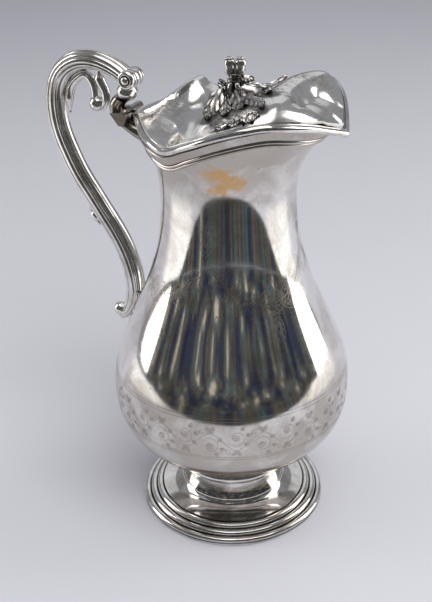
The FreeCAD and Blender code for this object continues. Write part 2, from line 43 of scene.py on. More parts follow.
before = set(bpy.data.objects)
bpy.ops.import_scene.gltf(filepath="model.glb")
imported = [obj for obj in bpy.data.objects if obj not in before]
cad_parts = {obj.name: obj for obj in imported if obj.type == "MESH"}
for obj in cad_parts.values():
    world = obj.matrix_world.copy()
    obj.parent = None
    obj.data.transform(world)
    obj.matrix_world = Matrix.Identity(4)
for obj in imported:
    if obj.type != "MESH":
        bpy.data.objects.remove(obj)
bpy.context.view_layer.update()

# Tables of shares, as in the part's source.
# Body from the collar to the belly, and from the belly to the neck: height share, radius share.
LOWER_SHARES = [(0.0, 0.0), (0.10, 0.20), (0.23, 0.47), (0.40, 0.74), (0.61, 0.92), (0.83, 0.99), (1.0, 1.0)]
UPPER_SHARES = [(0.11, 0.972), (0.22, 0.847), (0.36, 0.610), (0.50, 0.373), (0.64, 0.181),
                (0.78, 0.066), (0.90, 0.012), (1.0, 0.0)]
# Flare of the mouth above the neck: height share, share of the reach.
FLARE_SHARES = [(0.0, 0.0), (0.20, 0.06), (0.40, 0.265), (0.58, 0.58), (0.76, 0.833), (1.0, 1.0)]
# Along the lid from its back to its tip: length share, then the edge's height and half width, the crown's
# height, how square its section is, and the swell of the cheeks beside the spout cover.
EDGE_HEIGHT_SHARES = [(0.0, 0.264), (0.081, 0.274), (0.172, 0.128), (0.308, 0.06), (0.443, 0.37),
                      (0.579, 0.671), (0.697, 0.869), (0.787, 0.942), (0.86, 0.866), (0.923, 0.719),
                      (0.964, 0.55), (1.0, 0.379)]
EDGE_WIDTH_SHARES = [(0.0, 0.0), (0.027, 0.196), (0.081, 0.374), (0.172, 0.595), (0.308, 0.795),
                     (0.443, 0.957), (0.52, 1.0), (0.61, 0.994), (0.697, 0.958), (0.787, 0.848),
                     (0.86, 0.668), (0.923, 0.422), (0.964, 0.211), (1.0, 0.0)]
CROWN_SHARES = [(0.0, 0.254), (0.05, 0.275), (0.10, 0.349), (0.172, 0.529), (0.244, 0.762), (0.308, 0.915),
                (0.36, 0.788), (0.416, 0.682), (0.489, 0.582), (0.561, 0.672), (0.633, 0.842),
                (0.706, 1.0), (0.751, 0.979), (0.785, 0.90), (0.82, 0.778), (0.871, 0.673), (0.911, 0.575),
                (0.95, 0.466), (1.0, 0.331)]
CROWN_POWER_SHARES = [(0.0, 2.0), (0.20, 1.7), (0.31, 1.35), (0.40, 1.6), (0.50, 1.9), (0.62, 2.2),
                      (0.75, 2.6), (0.85, 2.6), (1.0, 2.0)]
CHEEK_SHARES = [(0.0, 0.0), (0.70, 0.005), (0.75, 0.064), (0.80, 0.127), (0.85, 0.111), (0.90, 0.036),
                (0.95, 0.0), (1.0, 0.0)]
LEAST_WIDTH_SHARE = 0.36

# Hammered forms of the lid in plan, on the side of -Y; the other side mirrors them.
# Strip from the hinge to the peak: its half widths, where it narrows from one to the next, and its start.
STRIP_HALF_WIDTHS = (0.0102, 0.0040, 0.0)
STRIP_NARROWS = ((-0.0205, -0.0130), (-0.0130, -0.0105))
STRIP_START = (0.002, 0.009)
STRIP_EDGE = 0.0007
STRIP_RISE = 0.0015
# Bowl beside the peak
BOWL_CENTRE = (-0.0128, -0.0118)
BOWL_SIZE = (0.0072, 0.0054)
# Ridges and grooves: share of the ridge's height, start, end, width, steepness, and whether they fade at the
# lid's edge.
LID_RIDGES = [(0.8, (-0.0127, -0.0029), (-0.0030, -0.0140), 0.0030, 2.0, False),
              (1.0, (-0.0330, -0.0130), (-0.0070, -0.0315), 0.0050, 3.2, True),
              (-0.5, (-0.0300, -0.0195), (-0.0080, -0.0345), 0.0026, 1.0, True),
              (-0.5, (-0.0009, -0.0215), (0.0009, -0.0385), 0.0016, 1.0, True)]
# Fan of flutes: the point it spreads from, and the angles and distances over which it comes and goes.
FLUTE_ROOT = (-0.0380, -0.0100)
FLUTE_TURNS = (-34.0, -30.0, -5.0, 0.0)
FLUTE_REACH = (0.005, 0.012, 0.021, 0.029)
# Crease at the tip: where it starts, where it ends before the front, and the facet beside it.
CREASE_START = (0.037, 0.045)
CREASE_END = (0.005, 0.001)
CREASE_HEIGHT = 0.0003
CREASE_WIDTH = 0.0014
FACET_PLACE = 0.0062
FACET_WIDTH = 0.0034
DEEPEST_DIP = 0.0004

# Leaves of a spray: start and end in plan, half width, stand at the root and at the tip, and bend. The plan
# is mirrored for the side of -Y. The side of +Y has only the first leaves and no flower.
SPRAY_LEAVES = [((0.0010, 0.0050), (0.0027, 0.0261), 0.0036, 0.0050, 0.0010, 0.0022),
                ((0.0031, 0.0073), (0.0111, 0.0251), 0.0027, 0.0038, 0.0010, 0.0),
                ((0.0055, 0.0040), (0.0200, 0.0250), 0.0036, 0.0056, 0.0010, -0.0010),
                ((0.0080, 0.0040), (0.0302, 0.0175), 0.0042, 0.0058, 0.0014, -0.0024),
                ((0.0170, 0.0170), (0.0330, 0.0330), 0.0027, 0.0020, 0.0012, -0.0016),
                ((0.0255, 0.0400), (0.0206, 0.0420), 0.0016, 0.0004, 0.0006, 0.0),
                ((0.0225, 0.0385), (0.0175, 0.0405), 0.0013, 0.0004, 0.0006, 0.0004),
                ((0.0206, 0.0420), (0.0142, 0.0420), 0.0014, 0.0004, 0.0006, 0.0005)]
FAR_LEAVES = 3
FLOWER_PLACE = (0.0285, 0.0372)

# Middle line of the handle's bar, its bow and its end at the rolled volute.
BAR_LOWER_SHARES = [(0.0, 0.0), (0.019, 0.091), (0.094, 0.209), (0.231, 0.332), (0.40, 0.444), (0.588, 0.565),
                    (0.741, 0.668), (0.859, 0.775), (0.953, 0.882), (1.0, 1.0)]
BOW_UP_SHARES = [(0.984, 0.382), (0.899, 0.694), (0.775, 0.878), (0.607, 0.99), (0.393, 1.0)]
BOW_DOWN_SHARES = [(0.18, 0.564), (0.06, 0.127)]
# Lower curl and inner branch, in radii of their balls.
CURL_LINE_SHARES = [(0.0, 0.0), (0.30, 1.45), (0.95, 2.95), (1.85, 4.2), (2.75, 4.75)]
CURL_BALL_SHARES = (2.85, 3.95)
LONG_STRAND_SHARES = [(-0.35, 2.15), (-0.25, 0.8)]
SHORT_STRAND_SHARES = [(0.55, 3.0), (1.2, 1.6), (1.1, 0.3), (0.5, -0.5)]
SCROLL_DROP_SHARES = (1.35, -3.35)
BUD_HEIGHT_SHARE = 0.45


# Sizes that can be set in the sidebar

def length(title, default, about):
    return bpy.props.FloatProperty(name=title, description=about, default=default, min=0.0, precision=5,
                                   subtype="DISTANCE", unit="LENGTH")


def colour(title, default, about):
    return bpy.props.FloatVectorProperty(name=title, description=about, default=default, min=0.0, max=1.0,
                                         size=4, subtype="COLOR")


def amount(title, default, about, low=0.0, high=1.0):
    return bpy.props.FloatProperty(name=title, description=about, default=default, min=low, max=high)


def count(title, default, about):
    return bpy.props.IntProperty(name=title, description=about, default=default, min=1)


def angle(title, default, about):
    return bpy.props.FloatProperty(name=title, description=about, default=math.radians(default),
                                   subtype="ANGLE", unit="ROTATION")


class JugFoot(bpy.types.PropertyGroup):
    """Sizes of the foot."""
    reed_count: count("Reeds", 3, "Reeds on the foot's ring")
    reed_width: length("Reed width", 0.0036, "Width of one reed")
    reed_step: length("Reed step", 0.0019, "Rise from one reed to the next")
    plinth: length("Plinth", 0.0014, "Height of the plain band under the reeds")
    stem_radius: length("Stem radius", 0.0275, "Radius of the upright wall")
    dish_rise: length("Dish rise", 0.005, "Rise of the dish from the ring to the stem")
    sheet: length("Sheet", 0.0012, "Thickness of the spun silver")


class JugBody(bpy.types.PropertyGroup):
    """Sizes of the body and its mouth."""
    base_radius: length("Base radius", 0.027, "Radius on the collar")
    belly_height: length("Belly height", 0.076, "Height of the widest place")
    neck_radius: length("Neck radius", 0.0333, "Radius of the narrowest place")
    neck_height: length("Neck height", 0.184, "Height of the narrowest place")
    flare_top: length("Flare top", 0.240, "Height to which the mouth's flare is drawn")
    lip_front: length("Front reach", 0.060, "Reach of the flare to the spout")
    lip_back: length("Back reach", 0.051, "Reach of the flare to the handle")
    lip_side: length("Side reach", 0.0488, "Reach of the flare to the sides")
    sheet: length("Sheet", 0.0012, "Thickness of the raised silver")
    rim_drop: length("Rim drop", 0.00256, "Top of the body below the lid's edge line")
    band_height: length("Band height", 0.0046, "Plain band of the rim moulding")
    band_thickness: length("Band thickness", 0.0013, "Thickness of that band")
    wire_height: length("Wire height", 0.0018, "Each of the two wires under the band")


class JugLid(bpy.types.PropertyGroup):
    """Sizes of the lid."""
    rim_low: length("Low edge", 0.2115, "Lowest place of the wavy edge")
    rim_rise: length("Edge rise", 0.0208, "Highest place of the edge above the lowest")
    crown_rise: length("Crown rise", 0.0275, "Top of the spout cover above the lowest edge")
    wire_height: length("Wire height", 0.0036, "Wire round the lid")
    wire_width: length("Wire width", 0.003, "Width of that wire")
    wire_drop: length("Wire drop", 0.00216, "Part of the wire below the edge line")
    sheet: length("Sheet", 0.0012, "Thickness of the lid")
    flute_depth: length("Flute depth", 0.00035, "Depth of the fine flutes behind the peak")
    flute_count: count("Flutes", 7, "Fine flutes on each side")
    bowl: length("Bowl", 0.0015, "Depth of the hollow beside the peak")
    ridge: length("Ridge", 0.0012, "Height of the ridges that run from the hinge")
    facet: length("Facet", 0.0022, "Fall of the sides from the crease at the tip")


class JugHandle(bpy.types.PropertyGroup):
    """Sizes of the handle."""
    reach: length("Reach", 0.097, "Bar's middle at its furthest from the axis")
    foot_height: length("Foot height", 0.1165, "Height at which the bar meets the belly")
    bow_rise: length("Bow rise", 0.0066, "Bar's top above the volute's axis")
    bow_drop: length("Bow drop", 0.0288, "Bar's furthest place below its top")
    half_depth: length("Half depth", 0.0055, "Half of the bar's section in the handle's plane")
    half_width: length("Half width", 0.005, "Half of the bar's section across it")
    bow_half_width: length("Bow half width", 0.0056, "The same at the bow")
    groove: length("Groove", 0.0007, "Depth of the grooves between the reeds")
    strand: length("Strand", 0.0027, "Radius of the inner branch")
    ball: length("Ball", 0.0042, "Ball of the inner branch")
    curl_ball: length("Curl ball", 0.0038, "Ball at the bar's lower end")


class JugFinial(bpy.types.PropertyGroup):
    """Sizes of the finial."""
    leaf_thickness: length("Leaf thickness", 0.0008, "Thickness of a leaf")
    petals: count("Petals", 6, "Petals of the flower at the end of a spray")
    bud_radius: length("Bud radius", 0.00275, "Radius of a bud")
    bud_half: length("Bud half height", 0.0042, "Half of a bud's height")
    bud_spread: length("Bud spread", 0.00245, "Each bud from the stem's axis")
    bud_turn: angle("Bud turn", 20.0, "Line of the two buds from the jug's middle plane")
    bud_lean: angle("Bud lean", 2.5, "Lean of each bud outward")


class JugEngraving(bpy.types.PropertyGroup):
    """Sizes of the engraved ornament."""
    line: length("Line", 0.0002, "Width of an engraved line")
    lift: length("Lift", 0.00003, "Lines above the silver")
    start: angle("Start", -80.0, "Turn at which the ornament starts")
    repeats: count("Repeats", 15, "Scrolls round the belly")
    band_height: length("Band height", 0.0758, "Middle of the scrolls above the table")
    scroll_height: length("Scroll height", 0.0195, "Height of the scrolls")
    sprays: count("Sprays", 4, "Festoons round the neck")
    spray_height: length("Spray height", 0.138, "Low line of the festoons above the table")
    spray_size: length("Spray size", 0.062, "Height of a festoon with its leaves")
    spray_radius: length("Spray radius", 0.040, "Radius on which the festoons are laid out")
    seed: count("Seed", 7, "Seed of the pricked dots on the lid")
    dot: length("Dot", 0.00028, "Radius of a pricked dot")


class JugFinish(bpy.types.PropertyGroup):
    """Colours of the silver."""
    silver: colour("Silver", (0.86, 0.845, 0.82, 1.0), "Clean polished silver")
    warm: colour("Tarnish", (0.36, 0.31, 0.25, 1.0), "Warm tarnish")
    amber: colour("Amber", (0.62, 0.36, 0.12, 1.0), "Strong tarnish spot")
    # Dark of the hollows: oxide, and painted shade under and round the finial's leaves
    oxide_and_shade: colour("Oxide", (0.035, 0.033, 0.036, 1.0), "Dark in the hollows")
    shine: amount("Roughness", 0.075, "Roughness of the polished silver")
    tarnish: amount("Tarnish strength", 0.66, "Share of the warm colour where the tarnish is full")
    specks: amount("Specks", 0.25, "Darkness of the small specks")
    dulling: amount("Dulling", 0.05, "Roughness that tarnish adds")
    dark_dulling: amount("Dark dulling", 0.35, "Roughness that dark hollows add")
    relief: amount("Relief", 0.22, "Strength of the rubbing marks")


class JugStage(bpy.types.PropertyGroup):
    """Floor, light and camera."""
    floor: colour("Floor", (0.55, 0.555, 0.60, 1.0), "Plain pale floor")
    floor_radius: length("Floor radius", 4.0, "Radius of the floor")
    table_edge: length("Table edge", 0.27, "Distance from the jug to the dark that it mirrors")
    room: length("Room", 1.5, "Distance to the dark walls that it mirrors")
    world: amount("World", 0.31, "Strength of the even light", 0.0, 10.0)
    azimuth: angle("Azimuth", 27.0, "Camera's turn from the jug's side")
    pitch: angle("Pitch", 28.28, "Camera's look down")
    roll: angle("Roll", -1.35, "Camera's roll")
    lens: amount("Lens", 61.72, "Focal length for a picture 36 mm high", 1.0, 500.0)


# Lines and tables

def spline(knots, values, at):
    """Natural cubic spline through values at knots; values may be rows."""
    knots, values, at = (np.asarray(x, float) for x in (knots, values, at))
    last = len(knots) - 1
    step = np.diff(knots)
    system = np.eye(last + 1)
    right = np.zeros_like(values)
    for i in range(1, last):
        system[i, i - 1:i + 2] = step[i - 1], 2 * (step[i - 1] + step[i]), step[i]
        right[i] = 6 * ((values[i + 1] - values[i]) / step[i] - (values[i] - values[i - 1]) / step[i - 1])
    bend = np.linalg.solve(system, right)
    at = np.clip(at, knots[0], knots[-1])
    i = np.clip(np.searchsorted(knots, at) - 1, 0, last - 1)
    a = (knots[i + 1] - at) / step[i]
    b, span = 1 - a, step[i]
    if values.ndim > 1:
        a, b, span = a[..., None], b[..., None], span[..., None]
    return (a * values[i] + b * values[i + 1]
            + ((a ** 3 - a) * bend[i] + (b ** 3 - b) * bend[i + 1]) * span ** 2 / 6)


def along(shares, at):
    """Smooth value of a table of (share, value); it keeps between its rows."""
    table = np.asarray(shares, float)
    s, v = table[:, 0], table[:, 1]
    slope = np.empty_like(v)
    slope[1:-1] = (v[2:] - v[:-2]) / (s[2:] - s[:-2])
    slope[0], slope[-1] = (v[1] - v[0]) / (s[1] - s[0]), (v[-1] - v[-2]) / (s[-1] - s[-2])
    at = np.clip(at, s[0], s[-1])
    i = np.clip(np.searchsorted(s, at, side="right") - 1, 0, len(s) - 2)
    span = s[i + 1] - s[i]
    t = (at - s[i]) / span
    return ((1 + 2 * t) * (1 - t) ** 2 * v[i] + t * (1 - t) ** 2 * span * slope[i]
            + t * t * (3 - 2 * t) * v[i + 1] + t * t * (t - 1) * span * slope[i + 1])


def line_lengths(points):
    """Distance along a line to each of its points."""
    return np.concatenate([[0], np.cumsum(np.linalg.norm(np.diff(points, axis=0), axis=1))])


def fair_line(points, steps):
    """Evenly spaced points on a smooth line through points."""
    points = np.asarray(points, float)
    knots = line_lengths(points)
    return spline(knots, points, np.linspace(0, knots[-1], steps))


def softened(values, width):
    """Values with their small steps smoothed away; the ends keep their slope."""
    pad = 3 * width
    head = 2 * values[0] - values[pad:0:-1]
    tail = 2 * values[-1] - values[-2:-pad - 2:-1]
    weights = np.exp(-0.5 * (np.arange(-pad, pad + 1) / width) ** 2)
    return np.convolve(np.concatenate([head, values, tail]), weights / weights.sum(), "valid")


def smoothstep(x, low, high):
    """0 up to low and 1 from high."""
    t = np.clip((np.asarray(x, float) - low) / (high - low), 0, 1)
    return t * t * (3 - 2 * t)


def window(x, start, full, fade, end):
    """1 from full to fade, and 0 before start and after end."""
    return smoothstep(x, start, full) * (1 - smoothstep(x, fade, end))


# Meshes

# Points that lie closer than this become one.
MERGE_DISTANCE = 1e-7


def grid_faces(rows, columns, wrap_rows=False, wrap_columns=False):
    """Quads of a grid of rows x columns points."""
    r = np.arange(rows if wrap_rows else rows - 1)
    c = np.arange(columns if wrap_columns else columns - 1)
    r, c = (x.ravel() for x in np.meshgrid(r, c, indexing="ij"))
    r1, c1 = (r + 1) % rows, (c + 1) % columns
    return np.stack([r * columns + c, r * columns + c1, r1 * columns + c1, r1 * columns + c], 1).tolist()


def tube_faces(rows, around):
    """Faces of a tube with closed ends."""
    ends = [list(range(around))[::-1], [(rows - 1) * around + k for k in range(around)]]
    return grid_faces(rows, around, False, True) + ends


def sheet_faces(rows, columns):
    """Faces of a sheet: an upper grid, the same grid below it and the edge between them."""
    size = rows * columns
    faces = grid_faces(rows, columns)
    faces += [[i + size for i in face[::-1]] for face in faces]
    ring = [r * columns for r in range(rows)] + [size - columns + c for c in range(1, columns)]
    ring += [r * columns + columns - 1 for r in range(rows - 2, -1, -1)] + list(range(columns - 2, 0, -1))
    return faces + [[a, b, b + size, a + size] for a, b in zip(ring, ring[1:] + ring[:1])]


def make_mesh(name, points, faces, hollow, sharp):
    """Closed mesh with outward normals and a value for each point that darkens it: oxide in its hollows, and
    painted shade under and round leaves.
    """
    mesh = bpy.data.meshes.new(name)
    mesh.from_pydata(np.asarray(points, float).reshape(-1, 3).tolist(), [], faces)
    attribute = mesh.attributes.new("hollow", "FLOAT", "POINT")
    attribute.data.foreach_set("value", np.asarray(hollow, np.float32).ravel())
    work = bmesh.new()
    work.from_mesh(mesh)
    bmesh.ops.remove_doubles(work, verts=work.verts, dist=MERGE_DISTANCE)
    bmesh.ops.recalc_face_normals(work, faces=work.faces)
    work.to_mesh(mesh)
    work.free()
    mesh.polygons.foreach_set("use_smooth", np.ones(len(mesh.polygons), bool))
    mesh.set_sharp_from_angle(angle=math.radians(sharp))
    mesh.update()
    return mesh


def add_piece(mesh, body, slot, material, *nodes):
    """Object that rides on a body and stands for CAD nodes."""
    piece = bpy.data.objects.new(mesh.name, mesh)
    bpy.context.scene.collection.objects.link(piece)
    mesh.materials.clear()
    mesh.materials.append(material)
    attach(piece, body)
    if nodes:
        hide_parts(*nodes)
    return piece


def add_part(name, part, body, slot, material, node, sharp=40.0):
    """Piece from points, faces and hollow values, in place of a CAD node."""
    return add_piece(make_mesh(name, *part, sharp), body, slot, material, node)


def joined(parts):
    """One set of points, faces and hollow values from several."""
    points, faces, hollow, start = [], [], [], 0
    for p, f, h in parts:
        p = np.asarray(p, float).reshape(-1, 3)
        points.append(p)
        faces += [[i + start for i in face] for face in f]
        hollow.append(np.asarray(h, float).ravel())
        start += len(p)
    return np.concatenate(points), faces, np.concatenate(hollow)


def turned(profile, steps, lobes=None):
    """Points, faces and hollow of a ring or a solid turned about Z; profile rows are radius, height, hollow.
    A profile whose ends lie on the axis is closed by poles, any other is a closed ring. Lobes is a function
    that gives each point's share of its radius."""
    profile = np.asarray(profile, float)
    turn = np.linspace(0, 2 * np.pi, steps, endpoint=False)
    grow = np.ones((len(profile), steps)) if lobes is None else lobes(profile, turn)
    r = profile[:, :1] * grow
    points = np.stack([r * np.cos(turn), r * np.sin(turn), np.repeat(profile[:, 1:2], steps, 1)], 2)
    solid = profile[0, 0] < 1e-9 and profile[-1, 0] < 1e-9
    faces = grid_faces(len(profile), steps, not solid, True)
    return points.reshape(-1, 3), faces, np.repeat(profile[:, 2], steps)


def swept(path, sections, hollow):
    """Points, faces and hollow of a bar on a line in the XZ plane; sections hold distances out and across."""
    way = np.gradient(path, axis=0)
    way /= np.linalg.norm(way, axis=1)[:, None]
    out = np.stack([-way[:, 2], np.zeros(len(way)), way[:, 0]], 1)
    points = path[:, None, :] + sections[..., :1] * out[:, None, :]
    points[..., 1] += sections[..., 1]
    rows, around = sections.shape[:2]
    return points.reshape(-1, 3), tube_faces(rows, around), np.broadcast_to(hollow, (rows, around)).ravel()


def closed_ring(points, dark):
    """Points, faces and hollow of a ring that closes both ways; dark is the hollow of each row."""
    rows, columns = points.shape[:2]
    return points, grid_faces(rows, columns, True, True), np.repeat(dark[:, None], columns, 1)


def ball(centre, radius, steps):
    """Points, faces and hollow of a ball."""
    a = np.linspace(0, np.pi, steps // 2 + 1)
    profile = np.stack([radius * np.sin(a), -radius * np.cos(a), np.zeros_like(a)], 1)
    profile[0, 0] = profile[-1, 0] = 0
    points, faces, hollow = turned(profile, steps)
    return points + np.asarray(centre), faces, hollow


def profile_between(rows, low, high, radius=1.0):
    """Profile between two heights; rows are radius, share of the way up, lift and hollow."""
    return [(radius * out, low + share * (high - low) + lift, dark) for out, share, lift, dark in rows]


def moved(part, matrix):
    """The same points turned and moved by a matrix."""
    points, faces, hollow = part
    m = np.array(matrix)
    return points @ m[:3, :3].T + m[:3, 3], faces, hollow


def shifted(part, x):
    """The same points moved along X."""
    return moved(part, Matrix.Translation((x, 0.0, 0.0)))


# Forms that follow the frame

# Number of heights in the body's outline, how many of them a soft bend takes, and the rounds in which the
# mouth's edge is found.
OUTLINE_STEPS = 480
OUTLINE_SOFTNESS = 9
EDGE_ROUNDS = 40


def box_low(node):
    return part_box(node)[0]


def box_high(node):
    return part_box(node)[1]


def lid_span():
    """Back, front and half width of the lid's edge."""
    low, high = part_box("lid_rim_moulding")
    return low.x, high.x, high.y


def lid_share(x):
    """Share of the way from the lid's back to its tip."""
    back, front, _ = lid_span()
    return (np.asarray(x, float) - back) / (front - back)


def edge_height(x, lid):
    """Height of the wavy edge."""
    return lid.rim_low + lid.rim_rise * along(EDGE_HEIGHT_SHARES, lid_share(x))


class BodyForm:
    """The body's outside as a function of angle and height."""

    def __init__(self, body):
        base, belly = box_low("body_shell").z, box_high("body_shell").y
        rows = [(base + s * (body.belly_height - base), body.base_radius + q * (belly - body.base_radius))
                for s, q in LOWER_SHARES]
        rows += [(body.belly_height + s * (body.neck_height - body.belly_height),
                  body.neck_radius + q * (belly - body.neck_radius)) for s, q in UPPER_SHARES]
        rows.append((body.flare_top, body.neck_radius))
        self.base = base
        self.heights = np.linspace(base, body.flare_top, OUTLINE_STEPS)
        self.radii = softened(along(rows, self.heights), OUTLINE_SOFTNESS)
        share = np.clip((self.heights - body.neck_height) / (body.flare_top - body.neck_height), 0, 1)
        self.flares = softened(along(FLARE_SHARES, share), OUTLINE_SOFTNESS)
        self.body = body

    def place(self, turn, height, inset=0.0):
        """Points at angles and heights, moved in by inset."""
        turn, height = np.broadcast_arrays(np.asarray(turn, float), np.asarray(height, float))
        radius = np.interp(height, self.heights, self.radii) - inset
        flare = np.interp(height, self.heights, self.flares)
        c, s = np.cos(turn), np.sin(turn)
        reach = self.body.lip_back + (self.body.lip_front - self.body.lip_back) * smoothstep(c, -0.6, 0.6)
        out = radius + flare * (reach - self.body.neck_radius)
        side = radius + flare * (self.body.lip_side - self.body.neck_radius)
        return np.stack([out * c, side * s, height], -1)

    def top(self, turn, lid, drop):
        """Height of the mouth's edge at angles."""
        height = np.full(np.shape(turn), lid.rim_low)
        for _ in range(EDGE_ROUNDS):
            height = 0.5 * height + 0.5 * (edge_height(self.place(turn, height)[..., 0], lid) - drop)
        return height

    def outward(self, turn, height):
        """Unit normals."""
        step = 1e-4
        a = self.place(np.asarray(turn) + step, height) - self.place(np.asarray(turn) - step, height)
        b = self.place(turn, np.asarray(height) + step) - self.place(turn, np.asarray(height) - step)
        n = np.cross(a, b)
        return n / np.linalg.norm(n, axis=-1, keepdims=True)


def lid_line(steps):
    """Plan of the lid's edge from the tip round to the tip: a closed row of points and outward directions."""
    back, front, half = lid_span()
    side = [(back + s * (front - back), half * w) for s, w in reversed(EDGE_WIDTH_SHARES)]
    near = [(x, -y) for x, y in reversed(side[:-1])]
    points = fair_line(side + near, steps + 1)[:-1]
    way = np.roll(points, -1, 0) - np.roll(points, 1, 0)
    out = np.stack([way[:, 1], -way[:, 0]], 1)
    return points, out / np.linalg.norm(out, axis=1)[:, None]


def ridge(x, y, start, end, width, steep):
    """Ridge over a line in plan: 1 on its sharp crest, and steeper on the right of the way."""
    way = np.subtract(end, start)
    size = float(np.hypot(*way))
    share = ((x - start[0]) * way[0] + (y - start[1]) * way[1]) / size ** 2
    off = ((y - start[1]) * way[0] - (x - start[0]) * way[1]) / size
    fall = np.where(off < 0, -steep * off, off) / width
    return np.exp(-fall) * window(share, -0.06, 0.20, 0.72, 1.06)


def lid_top(x, y, lid, detail=True):
    """Height of the lid's upper side, with or without its hammered detail."""
    x, y = np.broadcast_arrays(np.asarray(x, float), np.asarray(y, float))
    back, front, side = lid_span()
    share = lid_share(x)
    edge = edge_height(x, lid) + lid.wire_height - lid.wire_drop
    crown = lid.rim_low + lid.crown_rise * along(CROWN_SHARES, share)
    inside = (x - back - lid.wire_width) / (front - back - 2 * lid.wire_width)
    half = (side - lid.wire_width) * np.maximum(along(EDGE_WIDTH_SHARES, inside), LEAST_WIDTH_SHARE)
    across = np.clip(np.abs(y) / half, 0, 1)
    flat = np.maximum(crown - edge, 0)
    rise = flat * (1 - across ** along(CROWN_POWER_SHARES, share))
    rise = rise + lid.crown_rise * along(CHEEK_SHARES, share) * (1 - (2 * across ** 2 - 1) ** 2)
    if not detail:
        return edge + rise
    near = -np.abs(y)
    edge_fade = 1 - smoothstep(across, 0.82, 0.98)
    # Flat strip from the hinge up to the peak
    strip = STRIP_HALF_WIDTHS[0]
    for wide, thin, reach in zip(STRIP_HALF_WIDTHS, STRIP_HALF_WIDTHS[1:], STRIP_NARROWS):
        strip = strip - (wide - thin) * smoothstep(x, *reach)
    strip = (1 - smoothstep(-near, strip, strip + STRIP_EDGE)) * smoothstep(x - back, *STRIP_START)
    rise = rise + strip * np.minimum(flat - rise, STRIP_RISE)
    # Bowl beside the peak, with ridges and grooves round it
    off = ((x - BOWL_CENTRE[0]) / BOWL_SIZE[0]) ** 2 + ((near - BOWL_CENTRE[1]) / BOWL_SIZE[1]) ** 2
    rise = rise - lid.bowl * np.exp(-off ** 1.5) * (1 - strip)
    for height, start, end, width, steep, fades in LID_RIDGES:
        fade = edge_fade if fades else 1.0
        rise = rise + height * lid.ridge * ridge(x, near, start, end, width, steep) * fade
    # Fine flutes between the strip and the lower ridge
    turn = np.degrees(np.arctan2(near - FLUTE_ROOT[1], x - FLUTE_ROOT[0]))
    reach = np.hypot(near - FLUTE_ROOT[1], x - FLUTE_ROOT[0])
    fan = window(turn, *FLUTE_TURNS) * window(reach, *FLUTE_REACH)
    wave = 0.5 - 0.5 * np.cos(2 * np.pi * lid.flute_count * turn / FLUTE_TURNS[0])
    rise = rise - lid.flute_depth * fan * wave
    # Crease from the spout cover to the tip: the sides fall away from it.
    tip = window(x, *CREASE_START, front - CREASE_END[0], front - CREASE_END[1]) * edge_fade
    rise = rise - lid.facet * tip * np.exp(-((near + FACET_PLACE) / FACET_WIDTH) ** 2)
    rise = rise + CREASE_HEIGHT * tip * np.exp(near / CREASE_WIDTH)
    return edge + np.maximum(rise, -DEEPEST_DIP)


# Materials

def add_node(tree, kind, place=(0, 0), inputs=None, **settings):
    """Node with its settings; inputs are values or the sockets that feed them."""
    item = tree.nodes.new(kind)
    item.location = place
    for key, value in settings.items():
        setattr(item, key, value)
    for key, value in (inputs or {}).items():
        if isinstance(value, bpy.types.NodeSocket):
            tree.links.new(value, item.inputs[key])
        else:
            item.inputs[key].default_value = value
    return item


def maths(tree, place, operation, *values, clamp=False):
    """Result of a maths node on values or sockets."""
    return add_node(tree, "ShaderNodeMath", place, dict(enumerate(values)), operation=operation,
                    use_clamp=clamp).outputs[0]


def remap(tree, place, value, low, high, start=0.0, end=1.0):
    """Value carried from the range low to high over to the range start to end."""
    return add_node(tree, "ShaderNodeMapRange", place, {
        "Value": value, "From Min": low, "From Max": high, "To Min": start, "To Max": end}).outputs[0]


def noise(tree, place, vector, scale, detail, roughness=0.5, distortion=0.0, **settings):
    """Value of a noise texture."""
    return add_node(tree, "ShaderNodeTexNoise", place, {
        "Vector": vector, "Scale": scale, "Detail": detail, "Roughness": roughness, "Distortion": distortion},
        **settings).outputs[0]


def blend(tree, place, share, first, second):
    """Mix of two colours."""
    return add_node(tree, "ShaderNodeMix", place, {0: share, 6: first, 7: second},
                    data_type="RGBA").outputs[2]


def new_material(name):
    """Material and its empty node tree."""
    material = bpy.data.materials.new(name)
    material.use_nodes = True
    material.node_tree.nodes.clear()
    return material, material.node_tree


def new_group(name, kind, inputs, outputs):
    """Node group with named sockets, its input node and its output node."""
    tree = bpy.data.node_groups.new(name, kind)
    for title, socket, default in inputs:
        item = tree.interface.new_socket(title, in_out="INPUT", socket_type=socket)
        if default is not None:
            item.default_value = default
    for title, socket in outputs:
        tree.interface.new_socket(title, in_out="OUTPUT", socket_type=socket)
    start, end = tree.nodes.new("NodeGroupInput"), tree.nodes.new("NodeGroupOutput")
    start.location, end.location = (-900, 0), (700, 0)
    return tree, start.outputs, end.inputs


def tarnish_group():
    """Cloudy cover of tarnish: a mask in large clouds and small specks."""
    found = bpy.data.node_groups.get("tarnish")
    if found:
        return found
    tree, given, result = new_group(
        "tarnish", "ShaderNodeTree",
        [("Vector", "NodeSocketVector", None), ("Size", "NodeSocketFloat", 45.0),
         ("Cover", "NodeSocketFloat", 0.5)],
        [("Mask", "NodeSocketFloat"), ("Specks", "NodeSocketFloat")])
    clouds = noise(tree, (-600, 100), given["Vector"], given["Size"], 5.0, 0.62, 0.6)
    edge = maths(tree, (-600, -150), "SUBTRACT", 0.78, given["Cover"])
    mask = remap(tree, (-250, 100), clouds, edge, maths(tree, (-420, -150), "ADD", edge, 0.28))
    fine = maths(tree, (-600, -320), "MULTIPLY", given["Size"], 14.0)
    specks = noise(tree, (-420, -320), given["Vector"], fine, 2.0)
    tree.links.new(mask, result["Mask"])
    tree.links.new(remap(tree, (-200, -320), specks, 0.64, 0.76), result["Specks"])
    return tree


